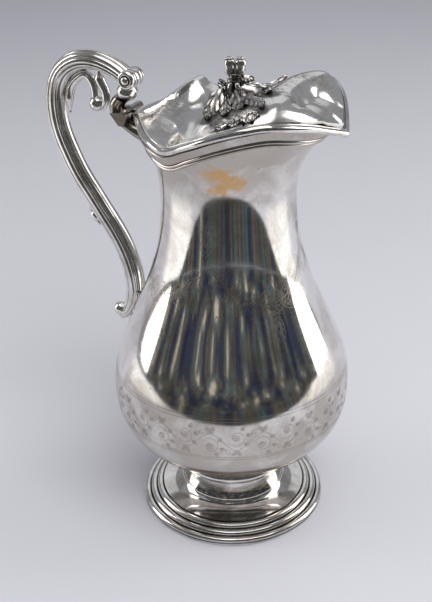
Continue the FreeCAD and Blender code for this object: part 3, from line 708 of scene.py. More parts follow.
def handling_group():
    """Fine rubbing marks: a roughness and a height."""
    found = bpy.data.node_groups.get("handling")
    if found:
        return found
    tree, given, result = new_group(
        "handling", "ShaderNodeTree",
        [("Vector", "NodeSocketVector", None), ("Roughness", "NodeSocketFloat", 0.13)],
        [("Roughness", "NodeSocketFloat"), ("Height", "NodeSocketFloat")])
    stretch = add_node(tree, "ShaderNodeMapping", (-650, 150), {
        "Vector": given["Vector"], "Scale": (60.0, 60.0, 900.0)})
    lines = noise(tree, (-430, 150), stretch.outputs[0], 1.0, 3.0, 0.6)
    dents = noise(tree, (-430, -100), given["Vector"], 85.0, 1.0, 0.4)
    rubbed = remap(tree, (-200, 150), lines, 0.3, 0.75, 0.7, 1.5)
    rough = maths(tree, (0, 150), "MULTIPLY", rubbed, given["Roughness"])
    fine = maths(tree, (-200, -100), "MULTIPLY", lines, 0.04)
    tree.links.new(rough, result["Roughness"])
    tree.links.new(maths(tree, (0, -100), "ADD", fine, dents), result["Height"])
    return tree


def silver(name, finish, tint=1.0, cover=0.35, size=45.0, roughness=1.0, bands=(), spot=None, depth=0.00022):
    """Polished silver with tarnish, rubbing marks and dark hollows. Bands are heights between which tarnish
    grows, and spot is the place and size of an amber stain."""
    found = bpy.data.materials.get(name)
    if found:
        return found
    material, tree = new_material(name)
    place = add_node(tree, "ShaderNodeTexCoord", (-1500, 0)).outputs["Object"]
    if bands:
        height = add_node(tree, "ShaderNodeSeparateXYZ", (-1500, -300), {0: place}).outputs[2]
        for k, (low, high, more) in enumerate(bands):
            grown = remap(tree, (-1300, -300 - 200 * k), height, low, high, 0.0, more)
            cover = maths(tree, (-1100, -300 - 200 * k), "ADD", grown, cover)
    tarnish = add_node(tree, "ShaderNodeGroup", (-750, 100), {"Vector": place, "Size": size, "Cover": cover},
                       node_tree=tarnish_group())
    handling = add_node(tree, "ShaderNodeGroup", (-750, -200), {
        "Vector": place, "Roughness": finish.shine * roughness}, node_tree=handling_group())
    mask = tarnish.outputs["Mask"]
    clean = tuple(tint * v for v in finish.silver[:3]) + (1.0,)
    part = maths(tree, (-550, 250), "MULTIPLY", mask, finish.tarnish)
    shade = blend(tree, (-350, 250), part, clean, tuple(finish.warm))
    if spot:
        centre, radius = spot
        gap = add_node(tree, "ShaderNodeVectorMath", (-1100, 450), {0: place, 1: centre},
                       operation="DISTANCE")
        ragged = noise(tree, (-1100, 650), place, 2.0 / radius, 4.0, 0.6)
        shift = remap(tree, (-920, 650), ragged, 0.3, 0.7, -0.55 * radius, 0.55 * radius)
        reach = maths(tree, (-750, 450), "ADD", gap.outputs["Value"], shift)
        near = remap(tree, (-550, 450), reach, radius, 0.35 * radius, 0.0, 0.8)
        shade = blend(tree, (-200, 400), near, shade, tuple(finish.amber))
    # Hollow values blend to the dark colour: oxide in real hollows, and painted shade under and round the
    # leaves
    hollow = add_node(tree, "ShaderNodeAttribute", (-750, -450), attribute_name="hollow").outputs["Fac"]
    specks = maths(tree, (-550, -350), "MULTIPLY", tarnish.outputs["Specks"], finish.specks)
    dark = maths(tree, (-350, -350), "ADD", hollow, specks, clamp=True)
    base = blend(tree, (0, 250), dark, shade, tuple(finish.oxide_and_shade))
    duller = maths(tree, (-350, -100), "MULTIPLY", mask, finish.dulling)
    rough = maths(tree, (-150, -100), "ADD", handling.outputs["Roughness"], duller)
    worn = maths(tree, (0, -250), "MULTIPLY", dark, finish.dark_dulling)
    rough = maths(tree, (150, -100), "ADD", rough, worn)
    bump = add_node(tree, "ShaderNodeBump", (150, -350), {
        "Height": handling.outputs["Height"], "Strength": finish.relief, "Distance": depth})
    shader = add_node(tree, "ShaderNodeBsdfPrincipled", (400, 100), {
        "Base Color": base, "Metallic": 1.0, "Roughness": rough, "Normal": bump.outputs[0]})
    out = add_node(tree, "ShaderNodeOutputMaterial", (700, 100))
    tree.links.new(shader.outputs[0], out.inputs[0])
    return material


def sheet_silver(finish):
    """Body: cloudy towards the mouth and the foot, with a stain under the mouth."""
    return silver("worn_sheet_silver", finish, cover=0.30, bands=((0.165, 0.215, 0.34), (0.125, 0.055, 0.28)),
                  spot=((0.0138, -0.0315, 0.201), 0.011))


def rim_silver(finish):
    """Foot and the lid's wire."""
    return silver("worn_rim_silver", finish, tint=0.97, cover=0.36, size=70.0, depth=0.0001)


def band_silver(finish):
    """Moulding of the mouth: darker and duller."""
    return silver("worn_band_silver", finish, tint=0.82, cover=0.58, size=60.0, roughness=1.4, depth=0.0001)


def lid_silver(finish):
    """Sheet of the lid."""
    return silver("worn_lid_silver", finish, cover=0.30, size=60.0, roughness=2.0, depth=0.00015)


def cast_silver(finish):
    """Handle and finial."""
    return silver("worn_cast_silver", finish, tint=0.95, cover=0.36, size=80.0, roughness=1.2, depth=0.0001)


def hinge_silver(finish):
    """Hinge, arm and fastening: oxidised, and painted dark for the dark surroundings that they mirror."""
    return silver("worn_hinge_silver", finish, tint=0.34, cover=0.55, size=120.0, roughness=1.6, depth=0.0001)


def engraved_dark(finish):
    """Cut lines: rough and dark."""
    return silver("worn_engraved_dark", finish, tint=0.44, cover=0.75, size=150.0, roughness=5.0,
                  depth=0.00005)


# Operators

# Outer corner of the foot's plinth: distance in from its edge, height and hollow
PLINTH_CORNER = [(0.0006, 0.0, 0.3), (0.0001, 0.0004, 0.0), (0.0, 0.0012, 0.0)]
PLINTH_EDGE = 0.0003
REED_BULGE = 0.45
REED_GAP = 0.0004
REED_STEPS = 15
COLLAR_LAND = 0.0036
FOOT_STEPS = 256
COLLAR_STEPS = 224


class JUG_OT_foot(bpy.types.Operator):
    """Reeded ring, dish and collar of the foot"""
    bl_idname = "jug.foot"
    bl_label = "Build foot"

    def ring(self, foot):
        """Plinth with a stair of reeds."""
        radius = box_high("foot_dome").x + foot.reed_count * foot.reed_width
        seat = box_low("foot_dome").z
        inside = radius - (foot.reed_count + 1) * foot.reed_width
        rows = [(inside, 0.0, 0.2)] + [(radius - inset, up, dark) for inset, up, dark in PLINTH_CORNER]
        rows.append((radius, foot.plinth - PLINTH_EDGE, 0.25))
        for k in range(foot.reed_count):
            start = np.array([radius - k * foot.reed_width, foot.plinth + k * foot.reed_step])
            end = np.array([start[0] - foot.reed_width, start[1] + foot.reed_step])
            bulge = np.array([foot.reed_step, foot.reed_width]) * REED_BULGE
            for t in np.linspace(0.0, 1.0, REED_STEPS):
                lift = math.sqrt(max(0.0, 1 - (2 * t - 1) ** 2))
                dark = 1.0 if t in (0.0, 1.0) else 0.35 if lift < 0.55 else 0.0
                rows.append((*(start + (end - start) * (0.03 + 0.94 * t) + bulge * lift), dark))
            if k < foot.reed_count - 1:
                rows.append((*(end - np.array([0.0, REED_GAP])), 1.0))
        return turned(rows + [(inside, seat, 0.4), (inside, 0.4 * seat, 0.4)], FOOT_STEPS)

    def dish(self, foot):
        """Spun sheet that sweeps up from the ring into the stem."""
        rim, stem, top = box_high("foot_dome").x, foot.stem_radius, box_high("foot_dome").z
        seat, sheet = box_low("foot_dome").z, foot.sheet
        outer = [(rim - (rim - stem) * math.sin(a), seat + sheet + foot.dish_rise * (1 - math.cos(a)), 0.0)
                 for a in np.linspace(0, np.pi / 2, 20)]
        inner = [(r - sheet, z - sheet, 0.3) for r, z, _ in outer]
        walls = np.linspace(outer[-1][1], top, 8)[1:-1]
        rows = [(rim, seat, 0.9), (rim, seat + 0.3 * sheet, 0.6)] + outer + [(stem, z, 0.0) for z in walls]
        rows += [(stem, top - 0.5 * sheet, 0.3), (stem, top, 1.0), (stem - sheet, top, 0.3)] + inner[::-1]
        return turned(rows, FOOT_STEPS)

    def collar(self, foot, body):
        """Half-round wire under the body."""
        low, high = box_low("foot_collar").z, box_high("foot_collar").z
        bulge = box_high("foot_collar").x - foot.stem_radius
        half = 0.5 * (high - low)
        rows = []
        for a in np.linspace(-np.pi / 2, np.pi / 2, 21):
            dark = float(0.9 * smoothstep(abs(math.sin(a)), 0.90, 1.0))
            rows.append((foot.stem_radius + bulge * math.cos(a), low + half + half * math.sin(a), dark))
        inside = body.base_radius - COLLAR_LAND
        return turned(rows + [(inside, high, 0.5), (inside, low, 0.5)], COLLAR_STEPS)

    def execute(self, context):
        foot, body = context.scene.jug_foot, context.scene.jug_body
        material = rim_silver(context.scene.jug_finish)
        for name, part, node in (("foot_reeds", self.ring(foot), "foot_ring"),
                                 ("foot_dish", self.dish(foot), "foot_dome"),
                                 ("foot_wire", self.collar(foot, body), "foot_collar")):
            add_part(name, part, "jug", "sheet_silver", material, node)
        return {"FINISHED"}


# Body: points round it and up it, how its rows crowd, the dark over the collar and its height, and the inside
BODY_STEPS, BODY_ROWS = 256, 170
BODY_CROWDING = 0.9
BASE_DARK, BASE_DARK_HEIGHT = 0.85, 0.0022
INSIDE_DARK = 0.35
# Wires of the mouth's moulding
MOULDING_STEPS = 320
MOULDING_WIRES = 2
MOULDING_BULGE = 0.00125
MOULDING_SEAT = 0.00002
MOULDING_EDGE = 0.0002


class JUG_OT_body(bpy.types.Operator):
    """Raised body and the moulding round its mouth"""
    bl_idname = "jug.body"
    bl_label = "Build body"

    def shell(self, body, lid, form):
        """Sheet from the collar to the wavy mouth, with its inner side."""
        steps, rows = BODY_STEPS, BODY_ROWS
        turn = np.linspace(0, 2 * np.pi, steps, endpoint=False)
        top = form.top(turn, lid, body.rim_drop)
        share = np.linspace(0, 1, rows)[:, None] ** BODY_CROWDING
        outer = form.place(turn[None, :], form.base + share * (top - form.base)[None, :])
        share = np.linspace(0, 1, rows // 2)[:, None] ** BODY_CROWDING
        floor = form.base + body.sheet
        inner = form.place(turn[None, :], floor + share * (top - floor)[None, :], body.sheet)[::-1]
        points = np.concatenate([outer, inner])
        hollow = np.zeros(points.shape[:2])
        base_fade = 1 - smoothstep(outer[..., 2], form.base, form.base + BASE_DARK_HEIGHT)
        hollow[:rows] = BASE_DARK * base_fade
        hollow[rows:] = INSIDE_DARK
        return points, tube_faces(len(points), steps), hollow

    def moulding(self, body, lid, form):
        """Plain band with thin wires under it; rows of the profile are distance down, out and hollow."""
        t, h, w = body.band_thickness, body.band_height, body.wire_height
        profile = [(0.0, MOULDING_SEAT, 0.3), (0.0, 0.6 * t, 0.2), (0.0003, t, 0.0), (h - 0.0004, t, 0.0),
                   (h - 0.0001, 0.75 * t, 0.8), (h, 0.45 * t, 1.0)]
        for k in range(MOULDING_WIRES):
            for a in np.linspace(0.12, np.pi - 0.12, 9):
                out = 0.35 * t + MOULDING_BULGE * math.sin(a) * (1.0 - 0.2 * k)
                dark = 0.8 if math.sin(a) < 0.3 else 0.0
                profile.append((h + w * (k + 0.5 - 0.5 * math.cos(a)), out, dark))
            profile.append((h + w * (k + 1), 0.3 * t, 1.0))
        profile.append((h + MOULDING_WIRES * w + MOULDING_EDGE, MOULDING_SEAT, 0.6))
        profile = np.array(profile)
        turn = np.linspace(0, 2 * np.pi, MOULDING_STEPS, endpoint=False)
        down = form.top(turn, lid, body.rim_drop)[None, :] - profile[:, :1]
        out = form.outward(turn[None, :], down) * profile[:, 1][:, None, None]
        points = form.place(turn[None, :], down) + out
        return closed_ring(points, profile[:, 2])

    def execute(self, context):
        body, lid, finish = context.scene.jug_body, context.scene.jug_lid, context.scene.jug_finish
        form = BodyForm(body)
        add_part("jug_body", self.shell(body, lid, form), "jug", "sheet_silver", sheet_silver(finish),
                 "body_shell")
        add_part("mouth_moulding", self.moulding(body, lid, form), "jug", "sheet_silver", band_silver(finish),
                 "rim_moulding")
        return {"FINISHED"}


# Lid: points along its wire, the wire's round side, and the rows and columns of its sheet
LID_WIRE_STEPS = 360
LID_WIRE_ROUND, LID_WIRE_LEAN, LID_WIRE_HALF = 0.0010, 0.0009, 0.00165
LID_ROWS, LID_COLUMNS = 190, 121
# Painted contact shadow, with tarnish, round the finial's leaves on the lid: its strength and reach
LEAF_SHADE, LEAF_SHADE_REACH = 0.85, 0.0012


class JUG_OT_lid(bpy.types.Operator):
    """Sheet of the lid and the wire round it"""
    bl_idname = "jug.lid"
    bl_label = "Build lid"

    def wire(self, lid):
        """Wire round the lid; the profile's rows are distance in from the outline, height and hollow."""
        line, out = lid_line(LID_WIRE_STEPS)
        w, low, high = lid.wire_width, -lid.wire_drop, lid.wire_height - lid.wire_drop
        profile = [(w, low, 0.5), (w, high - 0.0002, 0.6), (w - 0.0003, high, 0.0), (w - 0.0007, high, 0.0),
                   (w - 0.0010, high - 0.0004, 0.9)]
        for a in np.linspace(0.9 * np.pi / 2, -0.8 * np.pi / 2, 15):
            inset = LID_WIRE_ROUND - LID_WIRE_ROUND * math.cos(a) + LID_WIRE_LEAN * max(math.sin(a), 0) ** 2
            profile.append((inset, 0.5 * (high + low) + LID_WIRE_HALF * math.sin(a), 0.0))
        profile = np.array(profile + [(0.0011, low + 0.0001, 0.7), (0.0014, low, 0.8)])
        points = np.zeros((len(profile), len(line), 3))
        points[..., :2] = line[None] - out[None] * profile[:, 0][:, None, None]
        points[..., 2] = edge_height(line[:, 0], lid)[None, :] + profile[:, 1:2]
        return closed_ring(points, profile[:, 2])

    def leaf_shade(self, x, y):
        """Painted contact shadow round the leaves of the larger spray of the finial, with the tarnish that
        polishing leaves there.
        """
        shade = np.zeros_like(x)
        for start, end, width, *_ in SPRAY_LEAVES:
            way = np.subtract(end, start)
            at = np.clip(((x - start[0]) * way[0] + (-y - start[1]) * way[1]) / way.dot(way), 0, 1)
            gap = np.hypot(x - start[0] - at * way[0], -y - start[1] - at * way[1])
            dark = 1 - smoothstep(gap, 0.75 * width, width + LEAF_SHADE_REACH)
            shade = np.maximum(shade, LEAF_SHADE * dark)
        return shade

    def sheet(self, lid):
        """Hammered sheet inside the wire."""
        low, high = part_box("lid_shell")
        rows, columns = LID_ROWS, LID_COLUMNS
        share = 0.5 - 0.5 * np.cos(np.pi * np.linspace(0.004, 0.996, rows))
        across = np.sin(0.5 * np.pi * np.linspace(-1, 1, columns))
        x = (low.x + share * (high.x - low.x))[:, None] * np.ones(columns)
        y = high.y * along(EDGE_WIDTH_SHARES, share)[:, None] * across[None, :]
        top = np.stack([x, y, lid_top(x, y, lid)], -1)
        under = top - np.array([0.0, 0.0, lid.sheet])
        dip = np.clip((lid_top(x, y, lid, False) - top[..., 2]) / max(lid.flute_depth, 1e-6), 0, 1)
        # Slightly darker in the flute dips, with painted contact shadow round the leaves; the underside is
        # darker
        hollow = np.stack([np.maximum(0.10 * dip, self.leaf_shade(x, y)), np.full_like(dip, 0.3)])
        return np.stack([top, under]), sheet_faces(rows, columns), hollow

    def execute(self, context):
        lid, finish = context.scene.jug_lid, context.scene.jug_finish
        add_part("lid_wire", self.wire(lid), "lid", "sheet_silver", rim_silver(finish), "lid_rim_moulding")
        add_part("lid_sheet", self.sheet(lid), "lid", "sheet_silver", lid_silver(finish), "lid_shell", 30.0)
        return {"FINISHED"}


# Grooves round the section of the handle's bar; the last stretch between two of them is plain.
REED_EDGES = np.radians([-128.0, -104.0, -66.0, -24.0, 24.0, 66.0, 104.0, 128.0, 232.0])
REED_POINTS = 112
BAR_STEPS = 150
BAR_END_DEPTH = 0.76
CURL_STEPS = 40
CURL_THINNING = 0.42
STRAND_STEPS = 70
STRAND_SEAT = 0.9
STRAND_THINNING = 0.25
STRAND_ROOT = 0.25
STRAND_GROOVE = 0.0004
STRAND_POINTS = 48
BALL_STEPS = 40
KNOP_HALF = 0.0044
KNOP_GROOVE = (0.80, -0.0017, 0.9)
# End of the volute: share of its radius, distance in from its end and hollow; then the rows round its middle,
# with their distance from it.
VOLUTE_END_ROWS = [(0.0, 0.0, 0.0), (0.22, 0.00005, 0.0), (0.36, 0.0003, 0.0), (0.44, 0.0009, 0.2),
                   (0.46, 0.0017, 1.0), (0.52, 0.0018, 1.0), (0.58, 0.0012, 0.2), (0.72, 0.0010, 0.0),
                   (0.88, 0.0014, 0.0), (0.97, 0.0021, 0.0), (1.0, 0.0029, 0.0), (0.96, 0.0034, 0.8),
                   (1.0, 0.0040, 0.0)]
VOLUTE_MIDDLE_ROWS = [(1.0, 0.0021, 0.0), (0.95, 0.0017, 0.9), (1.0, 0.0012, 0.0)]
# Bud on the back of the bar: radius, distance along the bar and hollow
BAR_BUD_ROWS = [(0.0, -0.0058, 0.2), (0.0012, -0.0056, 0.0), (0.0019, -0.0048, 0.0), (0.0018, -0.0038, 0.2),
                (0.0013, -0.0032, 1.0), (0.0021, -0.0025, 0.1), (0.0027, -0.0010, 0.0), (0.0027, 0.0008, 0.0),
                (0.0021, 0.0024, 0.1), (0.0012, 0.0031, 1.0), (0.0017, 0.0038, 0.2), (0.0018, 0.0047, 0.0),
                (0.0011, 0.0054, 0.0), (0.0, 0.0056, 0.2)]
BAR_BUD_STAND = 0.0008


def reeded_bar(path, depth, width, groove):
    """Bar along a path; its half sizes and the depth of its grooves are given for each place."""
    depth, width, groove = (np.broadcast_to(v, len(path))[:, None] for v in (depth, width, groove))
    turn = np.linspace(REED_EDGES[0], REED_EDGES[-1], REED_POINTS, endpoint=False)
    i = np.clip(np.searchsorted(REED_EDGES, turn, side="right") - 1, 0, len(REED_EDGES) - 2)
    t = (turn - REED_EDGES[i]) / (REED_EDGES[i + 1] - REED_EDGES[i])
    edge = np.abs(2 * t - 1)
    plain = i == len(REED_EDGES) - 2
    cut = groove * np.where(plain, edge ** 14, edge ** 3.5)
    dark = np.where(plain, smoothstep(edge, 0.9, 1.0), smoothstep(edge, 0.80, 1.0))
    return swept(path, np.stack([(depth - cut) * np.cos(turn), (width - cut) * np.sin(turn)], -1), dark)


class HandleForm:
    """Middle lines of the handle, as in the part's source."""

    def __init__(self, handle):
        low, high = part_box("handle_volute")
        self.volute = np.array([0.5 * (low.x + high.x), 0.0, 0.5 * (low.z + high.z)])
        self.volute_radius = 0.5 * (high.x - low.x)
        self.volute_half = high.y
        bulb_low, bulb_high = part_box("handle_bulb")
        self.bulb = np.array([0.5 * (bulb_low.x + bulb_high.x), 0.0, bulb_low.z + KNOP_HALF])
        self.bulb_radius = 0.5 * (bulb_high.x - bulb_low.x)
        bar_low = handle.half_depth - box_high("handle_scroll").x
        top = self.volute[2] + handle.bow_rise
        reach_height = top - handle.bow_drop
        climb = reach_height - handle.foot_height
        lower = [(-bar_low - out * (handle.reach - bar_low), 0.0, handle.foot_height + up * climb)
                 for out, up in BAR_LOWER_SHARES]
        back = -self.volute[0]
        bow = [(-back - out * (handle.reach - back), 0.0, reach_height + up * handle.bow_drop)
               for out, up in BOW_UP_SHARES]
        bow += [(-back - out * (handle.reach - back), 0.0, self.volute[2] + up * handle.bow_rise)
                for out, up in BOW_DOWN_SHARES]
        self.lower_count = len(lower)
        self.points = np.array(lower + bow)
        ways = np.arange(1, len(bow) + 1) / len(bow)
        self.depths = np.concatenate([np.full(len(lower), handle.half_depth),
                                      handle.half_depth * (1 - ways ** 2 * (1 - BAR_END_DEPTH))])
        self.widths = np.concatenate([np.full(len(lower), handle.half_width),
                                      handle.half_width + ways * (handle.bow_half_width - handle.half_width)])
        self.handle = handle

    def under(self, index, stand_off):
        """Place of a strand against the inside of the bar."""
        way = self.points[index + 1] - self.points[index - 1]
        way = way / np.linalg.norm(way)
        inward = np.array([way[2], 0.0, -way[0]])
        return self.points[index] + inward * (self.depths[index] + stand_off * self.handle.strand)


class JUG_OT_handle(bpy.types.Operator):
    """Reeded bar with its scrolls, volute, knop and bud"""
    bl_idname = "jug.handle"
    bl_label = "Build handle"

    def bar(self, form):
        """Reeded bar along its middle line."""
        knots = line_lengths(form.points)
        at = np.linspace(0, knots[-1], BAR_STEPS)
        return reeded_bar(fair_line(form.points, BAR_STEPS), np.interp(at, knots, form.depths),
                          np.interp(at, knots, form.widths), form.handle.groove)

    def curl(self, form):
        """Lower end: the bar turns outward, thins and ends in a ball."""
        handle = form.handle
        line = np.array([(-out, 0.0, -down) for out, down in CURL_LINE_SHARES]) * handle.curl_ball
        path = fair_line(form.points[0] + line, CURL_STEPS)[::-1]
        thin = 1 - CURL_THINNING * smoothstep(np.linspace(1, 0, CURL_STEPS), 0.1, 1.0)
        bar = reeded_bar(path, handle.half_depth * thin, handle.half_width * thin, handle.groove * thin)
        out, down = CURL_BALL_SHARES
        centre = form.points[0] - np.array([out, 0.0, down]) * handle.curl_ball
        return joined([bar, ball(centre, handle.curl_ball, BALL_STEPS)])

    def branch(self, form):
        """Inner branch of two strands that end in a ball."""
        handle, first = form.handle, form.lower_count - 1
        longer = [form.under(first + k, STRAND_SEAT) for k in range(5)]
        shorter = [form.under(first + 5, 0.0)]
        out, up = SCROLL_DROP_SHARES
        centre = longer[-1] + np.array([out, 0.0, up]) * handle.ball
        way = np.linspace(0, 1, STRAND_STEPS)
        grow = STRAND_ROOT + (1 - STRAND_ROOT) * smoothstep(way, 0.0, 0.22)
        radius = handle.strand * ((1 - STRAND_THINNING * way) * grow)[:, None]
        spin = np.linspace(0, 2 * np.pi, STRAND_POINTS, endpoint=False)
        off = 1 - np.abs(np.cos(1.5 * spin))
        cut = radius - STRAND_GROOVE * off ** 3
        sections = np.stack([cut * np.cos(spin), cut * np.sin(spin)], -1)
        parts = [ball(centre, handle.ball, BALL_STEPS)]
        for strand, tail in ((longer, LONG_STRAND_SHARES), (shorter, SHORT_STRAND_SHARES)):
            line = strand + [centre + np.array([x, 0.0, z]) * handle.ball for x, z in tail]
            parts.append(swept(fair_line(line, STRAND_STEPS), sections, 0.8 * smoothstep(off, 0.7, 1.0)))
        return joined(parts)

    def roll(self, form):
        """Volute: a roll with a round button in a dark ring at each end."""
        r, half = form.volute_radius, form.volute_half
        end = [(r * out, half - inset, dark) for out, inset, dark in VOLUTE_END_ROWS]
        end += [(r * out, off, dark) for out, off, dark in VOLUTE_MIDDLE_ROWS]
        profile = [(out, -off, dark) for out, off, dark in end] + end[::-1]
        place = Matrix.Translation(form.volute) @ Matrix.Rotation(-math.pi / 2, 4, "X")
        return moved(turned(profile, 72), place)

    def knop(self, form):
        """Rounded knop with a groove round it."""
        r = form.bulb_radius

        def bow(low, high, steps):
            return [(r * math.cos(a), KNOP_HALF * math.sin(a), 0.0) for a in np.linspace(low, high, steps)]

        share, height, dark = KNOP_GROOVE
        rows = [(0.0, -KNOP_HALF, 0.5), *bow(-1.35, -0.5, 8), (share * r, height, dark),
                *bow(-0.32, 1.35, 14), (0.0, KNOP_HALF, 0.5)]
        return moved(turned(rows, 64), Matrix.Translation(form.bulb))

    def bud(self, form):
        """Bud that lies along the back of the bar."""
        outs, ups = np.array(BAR_LOWER_SHARES).T
        share = np.array([np.interp(BUD_HEIGHT_SHARE, ups, outs), 0.0, BUD_HEIGHT_SHARE])
        base = form.points[0] + (form.points[form.lower_count - 1] - form.points[0]) * share
        way = form.points[form.lower_count // 2] - form.points[form.lower_count // 2 - 1]
        way /= np.linalg.norm(way)
        out = np.array([-way[2], 0.0, way[0]])
        place = np.eye(4)
        place[:3, 0], place[:3, 2] = out, way
        place[:3, 3] = base + out * (form.handle.half_depth + BAR_BUD_STAND)
        return moved(turned(BAR_BUD_ROWS, 40), place)

    def execute(self, context):
        form = HandleForm(context.scene.jug_handle)
        material = cast_silver(context.scene.jug_finish)
        for name, make, node in (("handle_bar", self.bar, "handle_scroll"),
                                 ("handle_curl", self.curl, "handle_lower_curl"),
                                 ("handle_branch", self.branch, "handle_inner_scroll"),
                                 ("handle_roll", self.roll, "handle_volute"),
                                 ("handle_knop", self.knop, "handle_bulb"),
                                 ("handle_thumb_bud", self.bud, "handle_bud")):
            add_part(name, make(form), "jug", "cast_silver", material, node, 50.0)
        return {"FINISHED"}


class JUG_OT_hinge(bpy.types.Operator):
    """Finish of the hinge, the arm, the pad and the finial's fastening"""
    bl_idname = "jug.hinge"
    bl_label = "Finish hinge"

    def execute(self, context):
        finish = context.scene.jug_finish
        dressed = {"handle_lower_pad": sheet_silver(finish)}
        # The arm, hinge and fastening take the darkened silver: oxide with a painted dark reflection
        for node in ("handle_arm", "hinge_knuckles", "hinge_pin", "hinge_pin_caps", "lid_knuckle",
                     "finial_stud", "finial_washer", "finial_nut"):
            dressed[node] = hinge_silver(finish)
        for node, material in dressed.items():
            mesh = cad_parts[node].data
            mesh.materials.clear()
            mesh.materials.append(material)
        return {"FINISHED"}


# Small leaves on the stem: start, end, half width, height as a share of the stem's seat, and lift of the tip.
STEM_LEAVES = [((0.0058, 0.0003), (0.0126, 0.0036), 0.0028, 1.10, -0.0016),
               ((0.0040, -0.0010), (-0.0020, -0.0040), 0.0018, 0.86, 0.0012),
               ((0.0044, 0.0010), (0.0020, 0.0075), 0.0020, 0.86, -0.0010),
               ((0.0040, 0.0), (-0.0052, 0.0010), 0.0026, 0.52, 0.0010)]
LEAF_ROWS, LEAF_COLUMNS = 41, 17
LEAF_TEETH, LEAF_TOOTH_DEPTH = 4.5, 0.34
LEAF_LEAST_STAND = 0.00035
# Flower of a spray: a petal's start and end from the centre, half width and stand, and the eye's radius and
# height.
PETAL_REACH = (0.0004, 0.0047)
PETAL_HALF_WIDTH = 0.0018
PETAL_STAND = (0.0012, 0.0014)
FLOWER_EYE = (0.0011, 0.0019)
# Bundle of stalks, shaft and cup: radius, share of the way up, lift and hollow; the cup's radii are shares.
BUNDLE_STEPS = 112
STALKS, STALK_DEPTH = 7, 0.34
SEPALS, SEPAL_DEPTH = 8, 0.16
BUNDLE_ROWS = [(0.0, 0.0, -0.001, 0.9), (0.0064, 0.0, -0.0008, 0.9), (0.0062, 0.25, 0.0, 0.5),
               (0.0056, 0.50, 0.0, 0.1), (0.0052, 0.70, 0.0, 0.0), (0.0050, 0.82, 0.0, 0.0),
               (0.0042, 0.94, 0.0, 0.3), (0.0036, 1.0, 0.0, 0.7), (0.0, 1.0, 0.0001, 0.7)]
SHAFT_ROWS = [(0.0, 0.0, -0.0002, 0.5), (0.0041, 0.0, -0.0001, 0.6), (0.0040, 0.12, 0.0, 0.2),
              (0.0030, 0.30, 0.0, 0.9), (0.0027, 0.42, 0.0, 0.9), (0.0031, 0.58, 0.0, 0.0),
              (0.0032, 0.70, 0.0, 0.0), (0.0028, 0.82, 0.0, 0.8), (0.0032, 1.0, 0.0, 0.4),
              (0.0, 1.0, 0.0001, 0.4)]
CUP_ROWS = [(0.0, 0.0, 0.0, 0.6), (0.55, 0.0, 0.0, 0.5), (0.74, 0.0, 0.0003, 0.1), (0.92, 1.0, -0.0003, 0.0),
            (1.0, 1.0, 0.0, 0.0), (0.9, 1.0, 0.0001, 0.3), (0.5, 1.0, -0.0001, 0.9), (0.0, 1.0, 0.0, 0.9)]
# Bud of the finial: radius, height and hollow, as shares
BUD_ROWS = [(0.0, -1.06, 0.9), (0.56, -1.0, 0.9), (0.70, -0.80, 0.4), (0.86, -0.48, 0.0), (0.96, -0.15, 0.0),
            (1.0, 0.16, 0.0), (0.96, 0.44, 0.0), (0.82, 0.66, 0.1), (0.60, 0.78, 1.0), (0.70, 0.84, 0.2),
            (0.62, 0.95, 0.0), (0.36, 1.0, 0.4), (0.24, 0.92, 1.0), (0.0, 0.90, 1.0)]


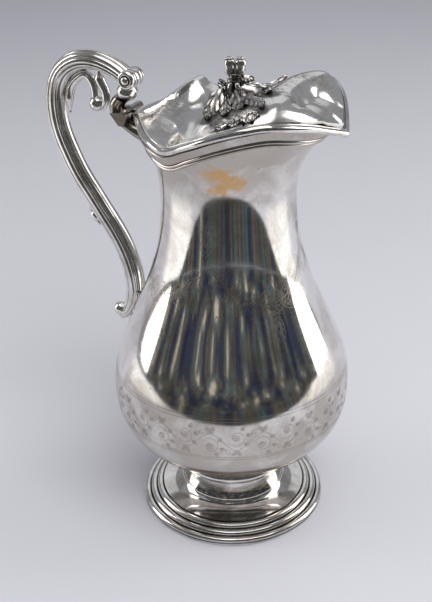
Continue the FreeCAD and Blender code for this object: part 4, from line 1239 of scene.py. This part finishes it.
class JUG_OT_finial(bpy.types.Operator):
    """Leaves, stem, calyx and buds of the finial"""
    bl_idname = "jug.finial"
    bl_label = "Build finial"

    def leaf(self, lid, thick, start, end, width, root, tip, bend=0.0, level=None):
        """One serrated leaf from start to end in plan. It stands off the lid, or a level, by root and tip."""
        rows, columns = LEAF_ROWS, LEAF_COLUMNS
        u = np.linspace(0, 1, rows)[:, None]
        v = np.linspace(-1, 1, columns)[None, :]
        way = np.subtract(end, start)
        reach = float(np.hypot(*way))
        way = way / reach
        saw = 1 + LEAF_TOOTH_DEPTH * (2 * np.abs((LEAF_TEETH * u) % 1.0 - 0.5) - 0.5)
        half = width * np.sin(np.pi * (0.10 + 0.90 * u ** 0.85)) ** 0.75 * saw
        side = bend * np.sin(np.pi * u) + v * half
        x = start[0] + reach * u * way[0] - side * way[1]
        y = start[1] + reach * u * way[1] + side * way[0]
        off = np.abs(v)
        rib = 0.22 * width * np.exp(-(off / 0.16) ** 2) - 0.12 * width * np.exp(-((off - 0.32) / 0.14) ** 2)
        vein = 0.09 * width * np.sin(2 * np.pi * (LEAF_TEETH * u - 0.9 * off)) * smoothstep(off, 0.15, 0.4)
        wave = 0.10 * width * np.sin(3 * np.pi * u)
        stand = root * (1 - smoothstep(u, 0.0, 0.8)) + tip * u ** 3 + thick + wave
        droop = -0.55 * half * off ** 1.6
        if level is None:
            base = lid_top(x, y, lid, False)
            top = np.maximum(base + stand + rib + vein + droop, base + LEAF_LEAST_STAND)
        else:
            top = level + stand + rib + vein + droop
        points = np.stack([x + 0 * v, y + 0 * v, top], -1)
        under = points - np.array([0.0, 0.0, thick])
        # Dark in the midrib's grooves, the veins, the root, the edges and all over the underside: oxide in
        # the hollows, and painted shade between and under the leaves
        dark = (1.4 * np.exp(-((off - 0.30) / 0.14) ** 2) * (1 - u) + 0.8 * (vein < -0.045 * width)
                + 0.9 * (1 - smoothstep(u, 0.0, 0.18)) + 0.9 * smoothstep(off, 0.78, 1.0))
        hollow = np.stack([np.clip(dark, 0, 0.95), np.full_like(dark, 0.9)])
        return np.stack([points, under]), sheet_faces(rows, columns), hollow

    def spray(self, lid, finial, side):
        """Leaves that trail from the stem to one side of the lid; at -Y they end in a flower and a sprig."""
        thick = finial.leaf_thickness
        parts = []
        for start, end, width, root, tip, bend in (SPRAY_LEAVES if side < 0 else SPRAY_LEAVES[:FAR_LEAVES]):
            start, end = (start[0], side * start[1]), (end[0], side * end[1])
            parts.append(self.leaf(lid, thick, start, end, width, root, tip, side * bend))
        if side > 0:
            return parts
        centre = np.array([FLOWER_PLACE[0], side * FLOWER_PLACE[1]])
        for k in range(finial.petals):
            a = 2 * math.pi * (k + 0.2) / finial.petals
            start, end = (centre + reach * np.array([math.cos(a), math.sin(a)]) for reach in PETAL_REACH)
            parts.append(self.leaf(lid, 0.7 * thick, start, end, PETAL_HALF_WIDTH, *PETAL_STAND))
        radius, stand = FLOWER_EYE
        parts.append(ball((*centre, float(lid_top(*centre, lid, False)) + stand), radius, 20))
        return parts

    def foliage(self, lid, finial, centre):
        """Sprays, the small leaves of the stem and the bundle of stalks that it rises from."""
        low = box_low("finial_stem").z
        seat = float(lid_top(centre, 0.0, lid, False))
        parts = self.spray(lid, finial, -1) + self.spray(lid, finial, 1)
        for start, end, width, rise, tip in STEM_LEAVES:
            level = seat + rise * (low - seat)
            parts.append(self.leaf(lid, finial.leaf_thickness, start, end, width, 0.0, tip, 0.0, level))

        def stalks(profile, turn):
            return 1 - STALK_DEPTH * np.abs(np.cos(0.5 * STALKS * turn + 60 * profile[:, 1:2])) ** 4

        base = profile_between(BUNDLE_ROWS, seat, low)
        points, faces, dark = turned(base, BUNDLE_STEPS, stalks)
        # Darker in the grooves between the stalks: oxide, and painted shade between them
        full = np.maximum(np.repeat([row[0] for row in base], BUNDLE_STEPS), 1e-6)
        groove = 1 - np.hypot(points[:, 0], points[:, 1]) / full
        bundle = points, faces, np.clip(dark + 3.5 * groove, 0, 1)
        return joined(parts + [shifted(bundle, centre)])

    def shaft(self, centre):
        """Turned stem."""
        low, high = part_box("finial_stem")
        return shifted(turned(profile_between(SHAFT_ROWS, low.z, high.z), 48), centre)

    def cup(self, centre):
        """Calyx with a wavy edge."""
        low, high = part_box("finial_calyx")

        def sepals(profile, turn):
            reach = profile[:, :1] / high.y
            return 1 - SEPAL_DEPTH * reach ** 2 * (0.5 - 0.5 * np.cos(SEPALS * turn))[None, :]

        rows = profile_between(CUP_ROWS, low.z, high.z, high.y)
        return shifted(turned(rows, 96, sepals), centre)

    def buds(self, finial, centre):
        """Two buds with furrows and an open crown."""
        r, half = finial.bud_radius, finial.bud_half

        def petals(profile, turn):
            swell = np.clip(1 - np.abs(profile[:, 1:2]) / half, 0, 1)
            crown = 0.35 * (profile[:, 1:2] > 0.8 * half) * (0.5 - 0.5 * np.cos(6 * turn))[None, :]
            return 1 - 0.12 * swell * np.abs(np.cos(2.0 * turn))[None, :] ** 6 - crown

        bud = turned([(r * out, half * up, dark) for out, up, dark in BUD_ROWS], 80, petals)
        height = box_high("finial_buds").z - half
        parts = []
        for heading in (finial.bud_turn, finial.bud_turn + math.pi):
            x, y = finial.bud_spread * math.cos(heading), finial.bud_spread * math.sin(heading)
            spot = (centre + x, y, height)
            lean = Matrix.Rotation(heading, 4, "Z") @ Matrix.Rotation(finial.bud_lean, 4, "Y")
            parts.append(moved(bud, Matrix.Translation(spot) @ lean))
        return joined(parts)

    def execute(self, context):
        lid, finial = context.scene.jug_lid, context.scene.jug_finial
        material = cast_silver(context.scene.jug_finish)
        low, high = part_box("finial_stem")
        centre = 0.5 * (low.x + high.x)
        for name, part, node, sharp in (
                ("finial_foliage", self.foliage(lid, finial, centre), "finial_leaves", 60.0),
                ("finial_shaft", self.shaft(centre), "finial_stem", 50.0),
                ("finial_cup", self.cup(centre), "finial_calyx", 50.0),
                ("finial_flower_buds", self.buds(finial, centre), "finial_buds", 50.0)):
            add_part(name, part, "lid", "cast_silver", material, node, sharp)
        return {"FINISHED"}


# Engraving

def wrap_tree():
    """Repeats a flat motif along a line and lays it round a body of revolution."""
    tree, given, result = new_group(
        "wrap_round", "GeometryNodeTree",
        [("Geometry", "NodeSocketGeometry", None), ("Copies", "NodeSocketInt", 10),
         ("Pitch", "NodeSocketFloat", 0.04), ("Radius", "NodeSocketFloat", 0.06),
         ("Height", "NodeSocketFloat", 0.08), ("Start", "NodeSocketFloat", 0.0),
         ("Lift", "NodeSocketFloat", 0.00003), ("Target", "NodeSocketObject", None),
         ("Material", "NodeSocketMaterial", None)],
        [("Geometry", "NodeSocketGeometry")])
    step = add_node(tree, "ShaderNodeCombineXYZ", (-700, 300), {0: given["Pitch"]})
    line = add_node(tree, "GeometryNodeMeshLine", (-500, 300), {
        "Count": given["Copies"], "Offset": step.outputs[0]}, mode="OFFSET", count_mode="TOTAL")
    copies = add_node(tree, "GeometryNodeInstanceOnPoints", (-300, 300), {
        "Points": line.outputs[0], "Instance": given["Geometry"]})
    flat = flat_place(tree)
    turn = maths(tree, (-550, 0), "DIVIDE", flat[0], given["Radius"])
    turn = maths(tree, (-400, 0), "ADD", turn, given["Start"])
    way = add_node(tree, "ShaderNodeCombineXYZ", (-100, 0), {
        0: maths(tree, (-250, 50), "COSINE", turn), 1: maths(tree, (-250, -100), "SINE", turn)}).outputs[0]
    far = maths(tree, (-400, -250), "MULTIPLY", given["Radius"], 3.0)
    out = vector_maths(tree, (50, 0), "SCALE", way, {"Scale": far})
    up = add_node(tree, "ShaderNodeCombineXYZ", (-250, -400), {
        2: maths(tree, (-400, -400), "ADD", flat[1], given["Height"])}).outputs[0]
    source = vector_maths(tree, (200, -100), "ADD", out, {1: up})
    inward = vector_maths(tree, (200, 100), "SCALE", way, {"Scale": -1.0})
    lay_on_target(tree, given, result, copies, source, inward, far)
    return tree


def drop_tree():
    """Lays a flat drawing, and seeded dots on a flat plate, down on a form from above."""
    tree, given, result = new_group(
        "drop_on", "GeometryNodeTree",
        [("Geometry", "NodeSocketGeometry", None), ("Plate", "NodeSocketObject", None),
         ("Density", "NodeSocketFloat", 60000.0), ("Gap", "NodeSocketFloat", 0.002),
         ("Dot", "NodeSocketFloat", 0.0003), ("Seed", "NodeSocketInt", 7), ("Above", "NodeSocketFloat", 0.3),
         ("Lift", "NodeSocketFloat", 0.00003), ("Target", "NodeSocketObject", None),
         ("Material", "NodeSocketMaterial", None)],
        [("Geometry", "NodeSocketGeometry")])
    plate = add_node(tree, "GeometryNodeObjectInfo", (-900, 500), {0: given["Plate"]})
    dots = add_node(tree, "GeometryNodeDistributePointsOnFaces", (-650, 500), {
        "Mesh": plate.outputs["Geometry"], "Distance Min": given["Gap"], "Density Max": given["Density"],
        "Seed": given["Seed"]}, distribute_method="POISSON")
    disc = add_node(tree, "GeometryNodeMeshCircle", (-650, 250), {"Vertices": 7, "Radius": given["Dot"]},
                    fill_type="NGON")
    copies = add_node(tree, "GeometryNodeInstanceOnPoints", (-400, 500), {
        "Points": dots.outputs[0], "Instance": disc.outputs[0]})
    both = add_node(tree, "GeometryNodeJoinGeometry", (-200, 400))
    tree.links.new(given["Geometry"], both.inputs[0])
    tree.links.new(copies.outputs[0], both.inputs[0])
    flat = flat_place(tree)
    source = add_node(tree, "ShaderNodeCombineXYZ", (-400, 0), {0: flat[0], 1: flat[1], 2: given["Above"]})
    down = add_node(tree, "ShaderNodeCombineXYZ", (-400, -200), {2: -1.0})
    lay_on_target(tree, given, result, both, source.outputs[0], down.outputs[0], given["Above"])
    return tree


def vector_maths(tree, place, operation, vector, inputs):
    """Result of a vector maths node."""
    return add_node(tree, "ShaderNodeVectorMath", place, {0: vector, **inputs},
                    operation=operation).outputs[0]


def flat_place(tree):
    """Coordinates of the points of a flat drawing."""
    position = add_node(tree, "GeometryNodeInputPosition", (-850, -100)).outputs[0]
    return add_node(tree, "ShaderNodeSeparateXYZ", (-700, 0), {0: position}).outputs


def lay_on_target(tree, given, result, drawing, source, way, reach):
    """Common end of the trees: cast the points on the target, lift them and give them their material."""
    real = add_node(tree, "GeometryNodeRealizeInstances", (-50, 300), {0: drawing.outputs[0]})
    target = add_node(tree, "GeometryNodeObjectInfo", (200, -400), {0: given["Target"]})
    hit = add_node(tree, "GeometryNodeRaycast", (400, 0), {
        "Target Geometry": target.outputs["Geometry"], "Source Position": source, "Ray Direction": way,
        "Ray Length": reach}).outputs
    lift = vector_maths(tree, (600, -100), "SCALE", hit["Hit Normal"], {"Scale": given["Lift"]})
    place = vector_maths(tree, (750, 0), "ADD", hit["Hit Position"], {1: lift})
    laid = add_node(tree, "GeometryNodeSetPosition", (900, 200), {
        "Geometry": real.outputs[0], "Position": place})
    last = add_node(tree, "GeometryNodeRealizeInstances", (1050, 200), {0: laid.outputs[0]})
    painted = add_node(tree, "GeometryNodeSetMaterial", (1200, 200), {
        "Geometry": last.outputs[0], "Material": given["Material"]})
    tree.links.new(painted.outputs[0], result["Geometry"])


def run_tree(name, mesh, tree, values, body, material):
    """Plain mesh piece from a drawing that goes through a tree with these inputs."""
    source = bpy.data.objects.new(name + "_drawing", mesh)
    bpy.context.scene.collection.objects.link(source)
    modifier = source.modifiers.new("tree", "NODES")
    sockets = {item.name: item.identifier for item in tree.interface.items_tree if item.in_out == "INPUT"}
    modifier.node_group = tree
    for key, value in values.items():
        modifier[sockets[key]] = value
    graph = bpy.context.evaluated_depsgraph_get()
    graph.update()
    result = bpy.data.meshes.new_from_object(source.evaluated_get(graph))
    source.modifiers.remove(modifier)
    bpy.data.objects.remove(source)
    if not result.polygons:
        raise RuntimeError(name + ": the tree made no faces")
    result.name = name
    result.polygons.foreach_set("use_smooth", np.ones(len(result.polygons), bool))
    return add_piece(result, body, "sheet_silver", material)


def ribbons(name, lines, width):
    """Flat mesh of lines in the XY plane that thin towards their ends."""
    points, faces, start = [], [], 0
    for line in lines:
        line = np.asarray(line, float)
        way = np.gradient(line, axis=0)
        way /= np.maximum(np.linalg.norm(way, axis=1), 1e-9)[:, None]
        side = np.stack([-way[:, 1], way[:, 0]], 1)
        t = np.linspace(0, 1, len(line))
        half = 0.5 * width * (0.35 + 0.65 * np.minimum(1, 5 * np.minimum(t, 1 - t)))[:, None]
        flat = np.stack([line - side * half, line + side * half], 1).reshape(-1, 2)
        points.append(np.concatenate([flat, np.zeros((len(flat), 1))], 1))
        for k in range(len(line) - 1):
            a = start + 2 * k
            faces.append([a, a + 2, a + 3, a + 1])
        start += len(flat)
    mesh = bpy.data.meshes.new(name)
    mesh.from_pydata(np.concatenate(points).tolist(), [], faces)
    return mesh


def spiral(centre, radius, start, turns, shrink=0.22):
    """Scroll line that winds in to its centre."""
    t = np.linspace(0, 1, 36)
    return on_circle(centre, radius * (1 - (1 - shrink) * t ** 0.9), start + 2 * np.pi * turns * t)


def on_circle(centre, radius, turn):
    """Points at distances and angles from a centre."""
    return np.stack([centre[0] + radius * np.cos(turn), centre[1] + radius * np.sin(turn)], 1)


def leaf_lines(root, heading, size, width, veins=3):
    """Pointed leaf: two sides, a midrib and veins."""
    t = np.linspace(0, 1, 12)
    c, s = math.cos(heading), math.sin(heading)

    def placed(x, y):
        return np.stack([root[0] + c * x - s * y, root[1] + s * x + c * y], 1)

    bow = 0.5 * width * np.sin(np.pi * t ** 0.8)
    lines = [placed(size * t, bow), placed(size * t, -bow), placed(0.8 * size * t, 0 * t)]
    for k in range(veins):
        x = size * (0.2 + 0.2 * k)
        for side in (1, -1):
            lines.append(placed(x + 0.16 * size * t, side * 0.34 * width * t))
    return lines


def flower_lines(centre, radius, petals):
    """Open flower of looped petals round a small ring."""
    t = np.linspace(0, 2 * np.pi, 10 * petals + 1)
    loop = radius * (0.62 + 0.38 * np.abs(np.sin(0.5 * petals * t)))
    lines = [on_circle(centre, loop, t), on_circle(centre, 0.25 * radius, t)]
    reach = np.linspace(0.3, 0.75, 4) * radius
    return lines + [on_circle(centre, reach, 2 * np.pi * (k + 0.5) / petals) for k in range(petals)]


def scroll_motif(pitch, height):
    """One wave of a foliate scroll: a waving stem with a spiral, a flower and leaves on each side."""
    x = np.linspace(0, pitch, 61)
    lines = [np.stack([x, 0.24 * height * np.sin(2 * np.pi * x / pitch)], 1)]
    for side in (1, -1):
        middle = pitch * (0.25 if side > 0 else 0.75)
        centre = (middle, -side * 0.13 * height)
        lines.append(spiral(centre, 0.27 * height, side * math.radians(150), -side * 1.25))
        lines += flower_lines(centre, 0.09 * height, 5)
        for turn in (60, 15, -40):
            root = (centre[0] + 0.24 * height * math.cos(math.radians(turn)),
                    centre[1] - side * 0.24 * height * math.sin(math.radians(turn)))
            lines += leaf_lines(root, -side * math.radians(turn), 0.17 * height, 0.10 * height, 2)
        tip = (middle, side * 0.25 * height)
        for turn in (60, 120):
            lines += leaf_lines(tip, side * math.radians(turn), 0.22 * height, 0.11 * height)
        centre = (middle - 0.16 * pitch, side * 0.27 * height)
        lines.append(spiral(centre, 0.09 * height, side * 0.5, side * 1.1))
    return lines


def spray_motif(pitch, height):
    """Hanging swag with a flower and drooping leaves."""

    def swag(share, top):
        return (top - (1 - (2 * share - 1) ** 2) * top) * height

    t = np.linspace(0, 1, 40)
    lines = [np.stack([pitch * t, swag(t, top)], 1) for top in (0.30, 0.35)]
    for share in np.arange(1, 10) / 10:
        for turn in (50, -50, -130, 130):
            lines += leaf_lines((pitch * share, swag(share, 0.30)), math.radians(turn), 0.13 * height,
                                0.06 * height, 1)
    lines += flower_lines((0.5 * pitch, 0.03 * height), 0.09 * height, 6)
    lines += flower_lines((0.0, 0.34 * height), 0.06 * height, 5)
    for turn in (70, 90, 110):
        lines += leaf_lines((0.0, 0.40 * height), math.radians(turn), 0.30 * height, 0.09 * height)
    for turn in (-75, -90, -105):
        lines += leaf_lines((0.5 * pitch, -0.06 * height), math.radians(turn), 0.22 * height, 0.07 * height)
    return lines


def lid_motif():
    """Two mirrored sprays on the spout cover, each with flowers and a scroll."""
    lines = []
    for side in (1, -1):
        t = np.linspace(0, 1, 30)
        stem = np.stack([0.018 + 0.026 * t, side * (0.004 + 0.022 * t ** 1.3 - 0.010 * t ** 3)], 1)
        lines.append(stem)
        for k in range(4, 28, 4):
            way = stem[k + 1] - stem[k - 1]
            for turn in (0.8, -0.8):
                lines += leaf_lines(stem[k], math.atan2(way[1], way[0]) + turn, 0.0046, 0.0020, 1)
        lines += flower_lines(stem[-1], 0.0022, 6)
        lines += flower_lines((0.024, side * 0.018), 0.0024, 6)
        lines.append(spiral((0.030, side * 0.004), 0.0030, side * 2.0, side * 1.2))
    return lines


# Heights of the lines above and below the scrolls, and their width in engraved lines
BELLY_LINES = (-0.0110, -0.0096, 0.0113, 0.0130)
BELLY_LINE_WIDTH = 1.3
# Plan of the pricked ground on the spout cover, for the side of +Y
DOT_GROUND = [(0.014, 0.030), (0.024, 0.033), (0.034, 0.030), (0.042, 0.021), (0.046, 0.010)]
DOT_GAP = 0.0019
DOT_DENSITY = 250000.0
DROP_HEIGHT = 0.3


class JUG_OT_engraving(bpy.types.Operator):
    """Engraved lines, scroll band and sprays on the body and the lid"""
    bl_idname = "jug.engraving"
    bl_label = "Engrave"

    def round_body(self, cut, material):
        """Lines, scrolls and festoons round the body."""
        tree = wrap_tree()
        radius = box_high("body_shell").y
        pitch = 2 * math.pi * radius / cut.repeats
        x = np.linspace(0, pitch, 24)
        edges = [np.stack([x, np.full_like(x, height)], 1) for height in BELLY_LINES]
        swing = 2 * math.pi * cut.spray_radius / cut.sprays
        belly = {"Copies": cut.repeats, "Pitch": pitch, "Radius": radius, "Height": cut.band_height}
        neck = {"Copies": cut.sprays, "Pitch": swing, "Radius": cut.spray_radius, "Height": cut.spray_height}
        for name, lines, width, values in (
                ("belly_lines", edges, BELLY_LINE_WIDTH * cut.line, belly),
                ("belly_scrolls", scroll_motif(pitch, cut.scroll_height), cut.line, belly),
                ("shoulder_sprays", spray_motif(swing, cut.spray_size), cut.line, neck)):
            run_tree(name, ribbons(name, lines, width), tree, {
                **values, "Start": cut.start, "Lift": cut.lift, "Target": bpy.data.objects["jug_body"],
                "Material": material}, "jug", material)

    def on_lid(self, cut, material):
        """Sprays and pricked dots on the spout cover."""
        plate = bpy.data.objects.new("dot_plate", bpy.data.meshes.new("dot_plate"))
        ring = [(x, y, 0.0) for x, y in DOT_GROUND] + [(x, -y, 0.0) for x, y in reversed(DOT_GROUND)]
        plate.data.from_pydata(ring, [], [list(range(len(ring)))])
        bpy.context.scene.collection.objects.link(plate)
        mesh = ribbons("lid_sprays", lid_motif(), cut.line)
        run_tree("lid_sprays", mesh, drop_tree(), {
            "Plate": plate, "Density": DOT_DENSITY, "Gap": DOT_GAP, "Dot": cut.dot, "Seed": cut.seed,
            "Above": DROP_HEIGHT, "Lift": cut.lift, "Target": bpy.data.objects["lid_sheet"],
            "Material": material}, "lid", material)
        bpy.data.objects.remove(plate)

    def execute(self, context):
        cut, material = context.scene.jug_engraving, engraved_dark(context.scene.jug_finish)
        self.round_body(cut, material)
        self.on_lid(cut, material)
        return {"FINISHED"}


# Stage

# Dark cards of the room: half their turn in degrees, lowest and highest place, and the shares that fade
ROOM_CARDS = [("room_wall", 112.0, -0.35, 0.80, (0.12, 0.03)), ("room_front", 72.0, 0.55, 2.15, (0.12, 0.12))]
TABLE_HALF_TURN = 79.0
# Pale cards at the table's sides: their turn, half width in degrees and distance
PALE_TURN, PALE_HALF_TURN, PALE_START = 86.0, 30.0, 0.36
PALE_COLOUR, PALE_STRENGTH = (1.0, 0.985, 0.97, 1.0), 1.2
# Heights of the cards that lie flat, and the floor's distance under the jug
DARK_CARD_HEIGHT, PALE_CARD_HEIGHT = 0.004, 0.002
FLOOR_DROP = 0.0002
FLOOR_STEPS, FLOOR_ROUGHNESS = 128, 0.75
WORLD_COLOUR = (0.86, 0.88, 0.94, 1.0)
# Stripes of the dark room: place on the ramp and colour
ROOM_STRIPES = [(0.30, (0.010, 0.012, 0.022)), (0.40, (0.022, 0.028, 0.050)), (0.45, (0.012, 0.012, 0.014)),
                (0.50, (0.085, 0.070, 0.052)), (0.53, (0.020, 0.022, 0.026)), (0.58, (0.050, 0.085, 0.085)),
                (0.62, (0.024, 0.024, 0.030)), (0.68, (0.30, 0.26, 0.21))]
ROOM_STRENGTH = 1.9
# Soft boxes: turn from the camera's side in degrees, distance, height, size, watts, colour, and whether the
# silver mirrors them
SOFT_BOXES = [("light_left", -100.0, 1.2, 0.5, (0.5, 0.9), 5.0, (1.0, 0.95, 0.95), True),
              ("light_right", 100.0, 1.2, 0.6, (0.6, 1.3), 8.0, (1.0, 0.97, 0.96), True),
              ("light_top", 20.0, 0.25, 1.5, (1.3, 1.3), 9.0, (1.0, 0.98, 0.97), True),
              ("light_back", 180.0, 1.6, 1.0, (1.6, 1.0), 2.0, (0.97, 0.98, 1.0), True),
              ("light_front", 30.0, 1.0, 1.1, (1.0, 0.8), 13.0, (1.0, 0.99, 0.98), False)]
LIGHT_AIM = Vector((0.0, 0.0, 0.12))
# Camera, as fitted to the photograph
CAMERA_PLACE = (0.2068, -0.4221, 0.3736)
SENSOR_HEIGHT = 36.0


class JUG_OT_stage(bpy.types.Operator):
    """Floor, soft light and the camera at the photograph's angle"""
    bl_idname = "jug.stage"
    bl_label = "Set stage"

    def card(self, name, turn, out, height, material, soft):
        """Card through rows of points given by their turn in degrees, distance and height. It shows only in
        reflections and fades over these shares of its rows and columns."""
        turn, out, height = np.broadcast_arrays(np.radians(turn), out, height)
        points = np.stack([out * np.cos(turn), out * np.sin(turn), height], -1)
        rows, columns = turn.shape
        r, c = np.linspace(0, 1, rows)[:, None], np.linspace(0, 1, columns)[None, :]
        cover = smoothstep(np.minimum(r, 1 - r), 0, soft[0]) * smoothstep(np.minimum(c, 1 - c), 0, soft[1])
        mesh = bpy.data.meshes.new(name)
        mesh.from_pydata(points.reshape(-1, 3).tolist(), [], grid_faces(rows, columns))
        attribute = mesh.attributes.new("cover", "FLOAT", "POINT")
        attribute.data.foreach_set("value", cover.astype(np.float32).ravel())
        mesh.materials.append(material)
        card = bpy.data.objects.new(name, mesh)
        bpy.context.scene.collection.objects.link(card)
        card.visible_camera = card.visible_diffuse = card.visible_shadow = card.visible_transmission = False

    def shown(self, tree, light):
        """Shader that fades out at the edges of a card."""
        clear = add_node(tree, "ShaderNodeBsdfTransparent", (250, 200))
        cover = add_node(tree, "ShaderNodeAttribute", (250, 400), attribute_name="cover").outputs["Fac"]
        mix = add_node(tree, "ShaderNodeMixShader", (500, 0), {
            0: cover, 1: clear.outputs[0], 2: light.outputs[0]})
        out = add_node(tree, "ShaderNodeOutputMaterial", (700, 0))
        tree.links.new(mix.outputs[0], out.inputs[0])

    def room_material(self):
        """Dark room with upright stripes."""
        material, tree = new_material("dark_room")
        place = add_node(tree, "ShaderNodeTexCoord", (-900, 0)).outputs["Object"]
        parts = add_node(tree, "ShaderNodeSeparateXYZ", (-700, 0), {0: place}).outputs
        flat = add_node(tree, "ShaderNodeCombineXYZ", (-400, -100), {
            0: maths(tree, (-500, 0), "ARCTAN2", parts[1], parts[0]),
            1: maths(tree, (-500, -200), "MULTIPLY", parts[2], 0.55)})
        grain = noise(tree, (-300, 0), flat.outputs[0], 6.5, 3.0, 0.6, noise_dimensions="2D")
        ramp = add_node(tree, "ShaderNodeValToRGB", (-100, 0), {0: grain})
        stops = ramp.color_ramp.elements
        for k, (at, shade) in enumerate(ROOM_STRIPES):
            stop = stops[k] if k < len(stops) else stops.new(at)
            stop.position, stop.color = at, (*shade, 1.0)
        light = add_node(tree, "ShaderNodeEmission", (250, 0), {
            "Color": ramp.outputs[0], "Strength": ROOM_STRENGTH})
        self.shown(tree, light)
        return material

    def pale_material(self):
        """Evenly lit sides."""
        material, tree = new_material("pale_sides")
        light = add_node(tree, "ShaderNodeEmission", (0, 0), {
            "Color": PALE_COLOUR, "Strength": PALE_STRENGTH})
        self.shown(tree, light)
        return material

    def floor(self, stage):
        """Large plain disc."""
        material = bpy.data.materials.new("pale_floor")
        material.use_nodes = True
        tree = material.node_tree
        shader = tree.nodes["Principled BSDF"]
        place = add_node(tree, "ShaderNodeTexCoord", (-900, 0)).outputs["Object"]
        low = tuple(0.97 * v for v in stage.floor[:3]) + (1.0,)
        shade = blend(tree, (-400, 0), noise(tree, (-700, 0), place, 14.0, 4.0), low, tuple(stage.floor))
        tree.links.new(shade, shader.inputs["Base Color"])
        shader.inputs["Roughness"].default_value = FLOOR_ROUGHNESS
        turn = np.linspace(0, 2 * np.pi, FLOOR_STEPS, endpoint=False)
        r = stage.floor_radius
        mesh = bpy.data.meshes.new("floor")
        ring = [(r * math.cos(a), r * math.sin(a), 0.0) for a in turn]
        mesh.from_pydata(ring, [], [list(range(len(ring)))])
        mesh.materials.append(material)
        disc = bpy.data.objects.new("floor", mesh)
        disc.location.z = -FLOOR_DROP
        bpy.context.scene.collection.objects.link(disc)

    def soft_box(self, facing, name, turn, distance, height, size, power, shade, mirrored):
        """Area light that looks at the jug, and shows in it only where it is mirrored."""
        light = bpy.data.lights.new(name, "AREA")
        light.shape = "RECTANGLE"
        light.size, light.size_y = size
        light.energy, light.color = power, shade
        lamp = bpy.data.objects.new(name, light)
        a = math.radians(facing + turn)
        lamp.location = (distance * math.cos(a), distance * math.sin(a), height)
        lamp.rotation_euler = (LIGHT_AIM - lamp.location).to_track_quat("-Z", "Y").to_euler()
        lamp.visible_glossy = mirrored
        bpy.context.scene.collection.objects.link(lamp)

    def room(self, stage, facing):
        """Cards that the silver mirrors: dark beyond the table's straight front edge, pale at its sides."""
        dark, pale = self.room_material(), self.pale_material()
        off, up = np.linspace(-1, 1, 97)[None, :], np.linspace(0, 1, 33)[:, None]
        for name, half, low, high, soft in ROOM_CARDS:
            self.card(name, facing + half * off, stage.room, low + (high - low) * up, dark, soft)
        turn = TABLE_HALF_TURN * off
        near = stage.table_edge / np.cos(np.radians(turn))
        out = near + (stage.room - near) * up ** 2
        self.card("room_floor", facing + turn, out, DARK_CARD_HEIGHT, dark, (0.10, 0.01))
        out = PALE_START + (stage.room - PALE_START) * up
        for name, side in (("pale_side_left", -1), ("pale_side_right", 1)):
            turn = side * PALE_TURN + PALE_HALF_TURN * off
            self.card(name, facing + turn, out, PALE_CARD_HEIGHT, pale, (0.06, 0.25))

    def camera(self, stage):
        """Camera at the photograph's angle."""
        lens = bpy.data.cameras.new("camera")
        lens.sensor_fit, lens.sensor_height, lens.lens = "VERTICAL", SENSOR_HEIGHT, stage.lens
        lens.clip_start, lens.clip_end = 0.01, 50.0
        camera = bpy.data.objects.new("camera", lens)
        camera.location = CAMERA_PLACE
        a, p, r = stage.azimuth, stage.pitch, stage.roll
        ahead = Vector((-math.sin(a) * math.cos(p), math.cos(a) * math.cos(p), -math.sin(p)))
        right = Vector((math.cos(a), math.sin(a), 0.0))
        up = right.cross(ahead)
        right, up = (right * math.cos(r) + up * math.sin(r), up * math.cos(r) - right * math.sin(r))
        camera.rotation_euler = Matrix((right, up, -ahead)).transposed().to_euler()
        bpy.context.scene.collection.objects.link(camera)
        return camera

    def execute(self, context):
        stage = context.scene.jug_stage
        facing = math.degrees(stage.azimuth) - 90.0
        self.floor(stage)
        self.room(stage, facing)
        for row in SOFT_BOXES:
            self.soft_box(facing, *row)
        world = bpy.data.worlds.new("studio")
        world.use_nodes = True
        ground = world.node_tree.nodes["Background"]
        ground.inputs["Color"].default_value = WORLD_COLOUR
        ground.inputs["Strength"].default_value = stage.world
        context.scene.world = world
        context.scene.camera = self.camera(stage)
        context.scene.view_settings.view_transform = "Standard"
        return {"FINISHED"}


class JUG_PT_sidebar(bpy.types.Panel):
    """Sizes and steps of the jug"""
    bl_idname = "JUG_PT_sidebar"
    bl_label = "Covered silver jug"
    bl_space_type = "VIEW_3D"
    bl_region_type = "UI"
    bl_category = "Jug"

    def draw(self, context):
        for operator, groups in STEPS:
            box = self.layout.box()
            for title in groups:
                values = getattr(context.scene, title)
                for key in type(values).__annotations__:
                    box.prop(values, key)
            box.operator(operator)


GROUPS = {"jug_foot": JugFoot, "jug_body": JugBody, "jug_lid": JugLid, "jug_handle": JugHandle,
          "jug_finial": JugFinial, "jug_engraving": JugEngraving, "jug_finish": JugFinish,
          "jug_stage": JugStage}
STEPS = [("jug.foot", ["jug_finish", "jug_foot"]), ("jug.body", ["jug_body"]), ("jug.lid", ["jug_lid"]),
         ("jug.handle", ["jug_handle"]), ("jug.hinge", []), ("jug.finial", ["jug_finial"]),
         ("jug.engraving", ["jug_engraving"]), ("jug.stage", ["jug_stage"])]
CLASSES = [*GROUPS.values(), JUG_OT_foot, JUG_OT_body, JUG_OT_lid, JUG_OT_handle, JUG_OT_hinge, JUG_OT_finial,
           JUG_OT_engraving, JUG_OT_stage, JUG_PT_sidebar]


def register():
    for item in CLASSES:
        bpy.utils.register_class(item)
    for name, group in GROUPS.items():
        setattr(bpy.types.Scene, name, bpy.props.PointerProperty(type=group))


def unregister():
    for name in GROUPS:
        delattr(bpy.types.Scene, name)
    for item in reversed(CLASSES):
        bpy.utils.unregister_class(item)


def main():
    register()
    bpy.ops.jug.foot()
    bpy.ops.jug.body()
    bpy.ops.jug.lid()
    bpy.ops.jug.handle()
    bpy.ops.jug.hinge()
    bpy.ops.jug.finial()
    bpy.ops.jug.engraving()
    bpy.ops.jug.stage()


if __name__ == "__main__":
    main()
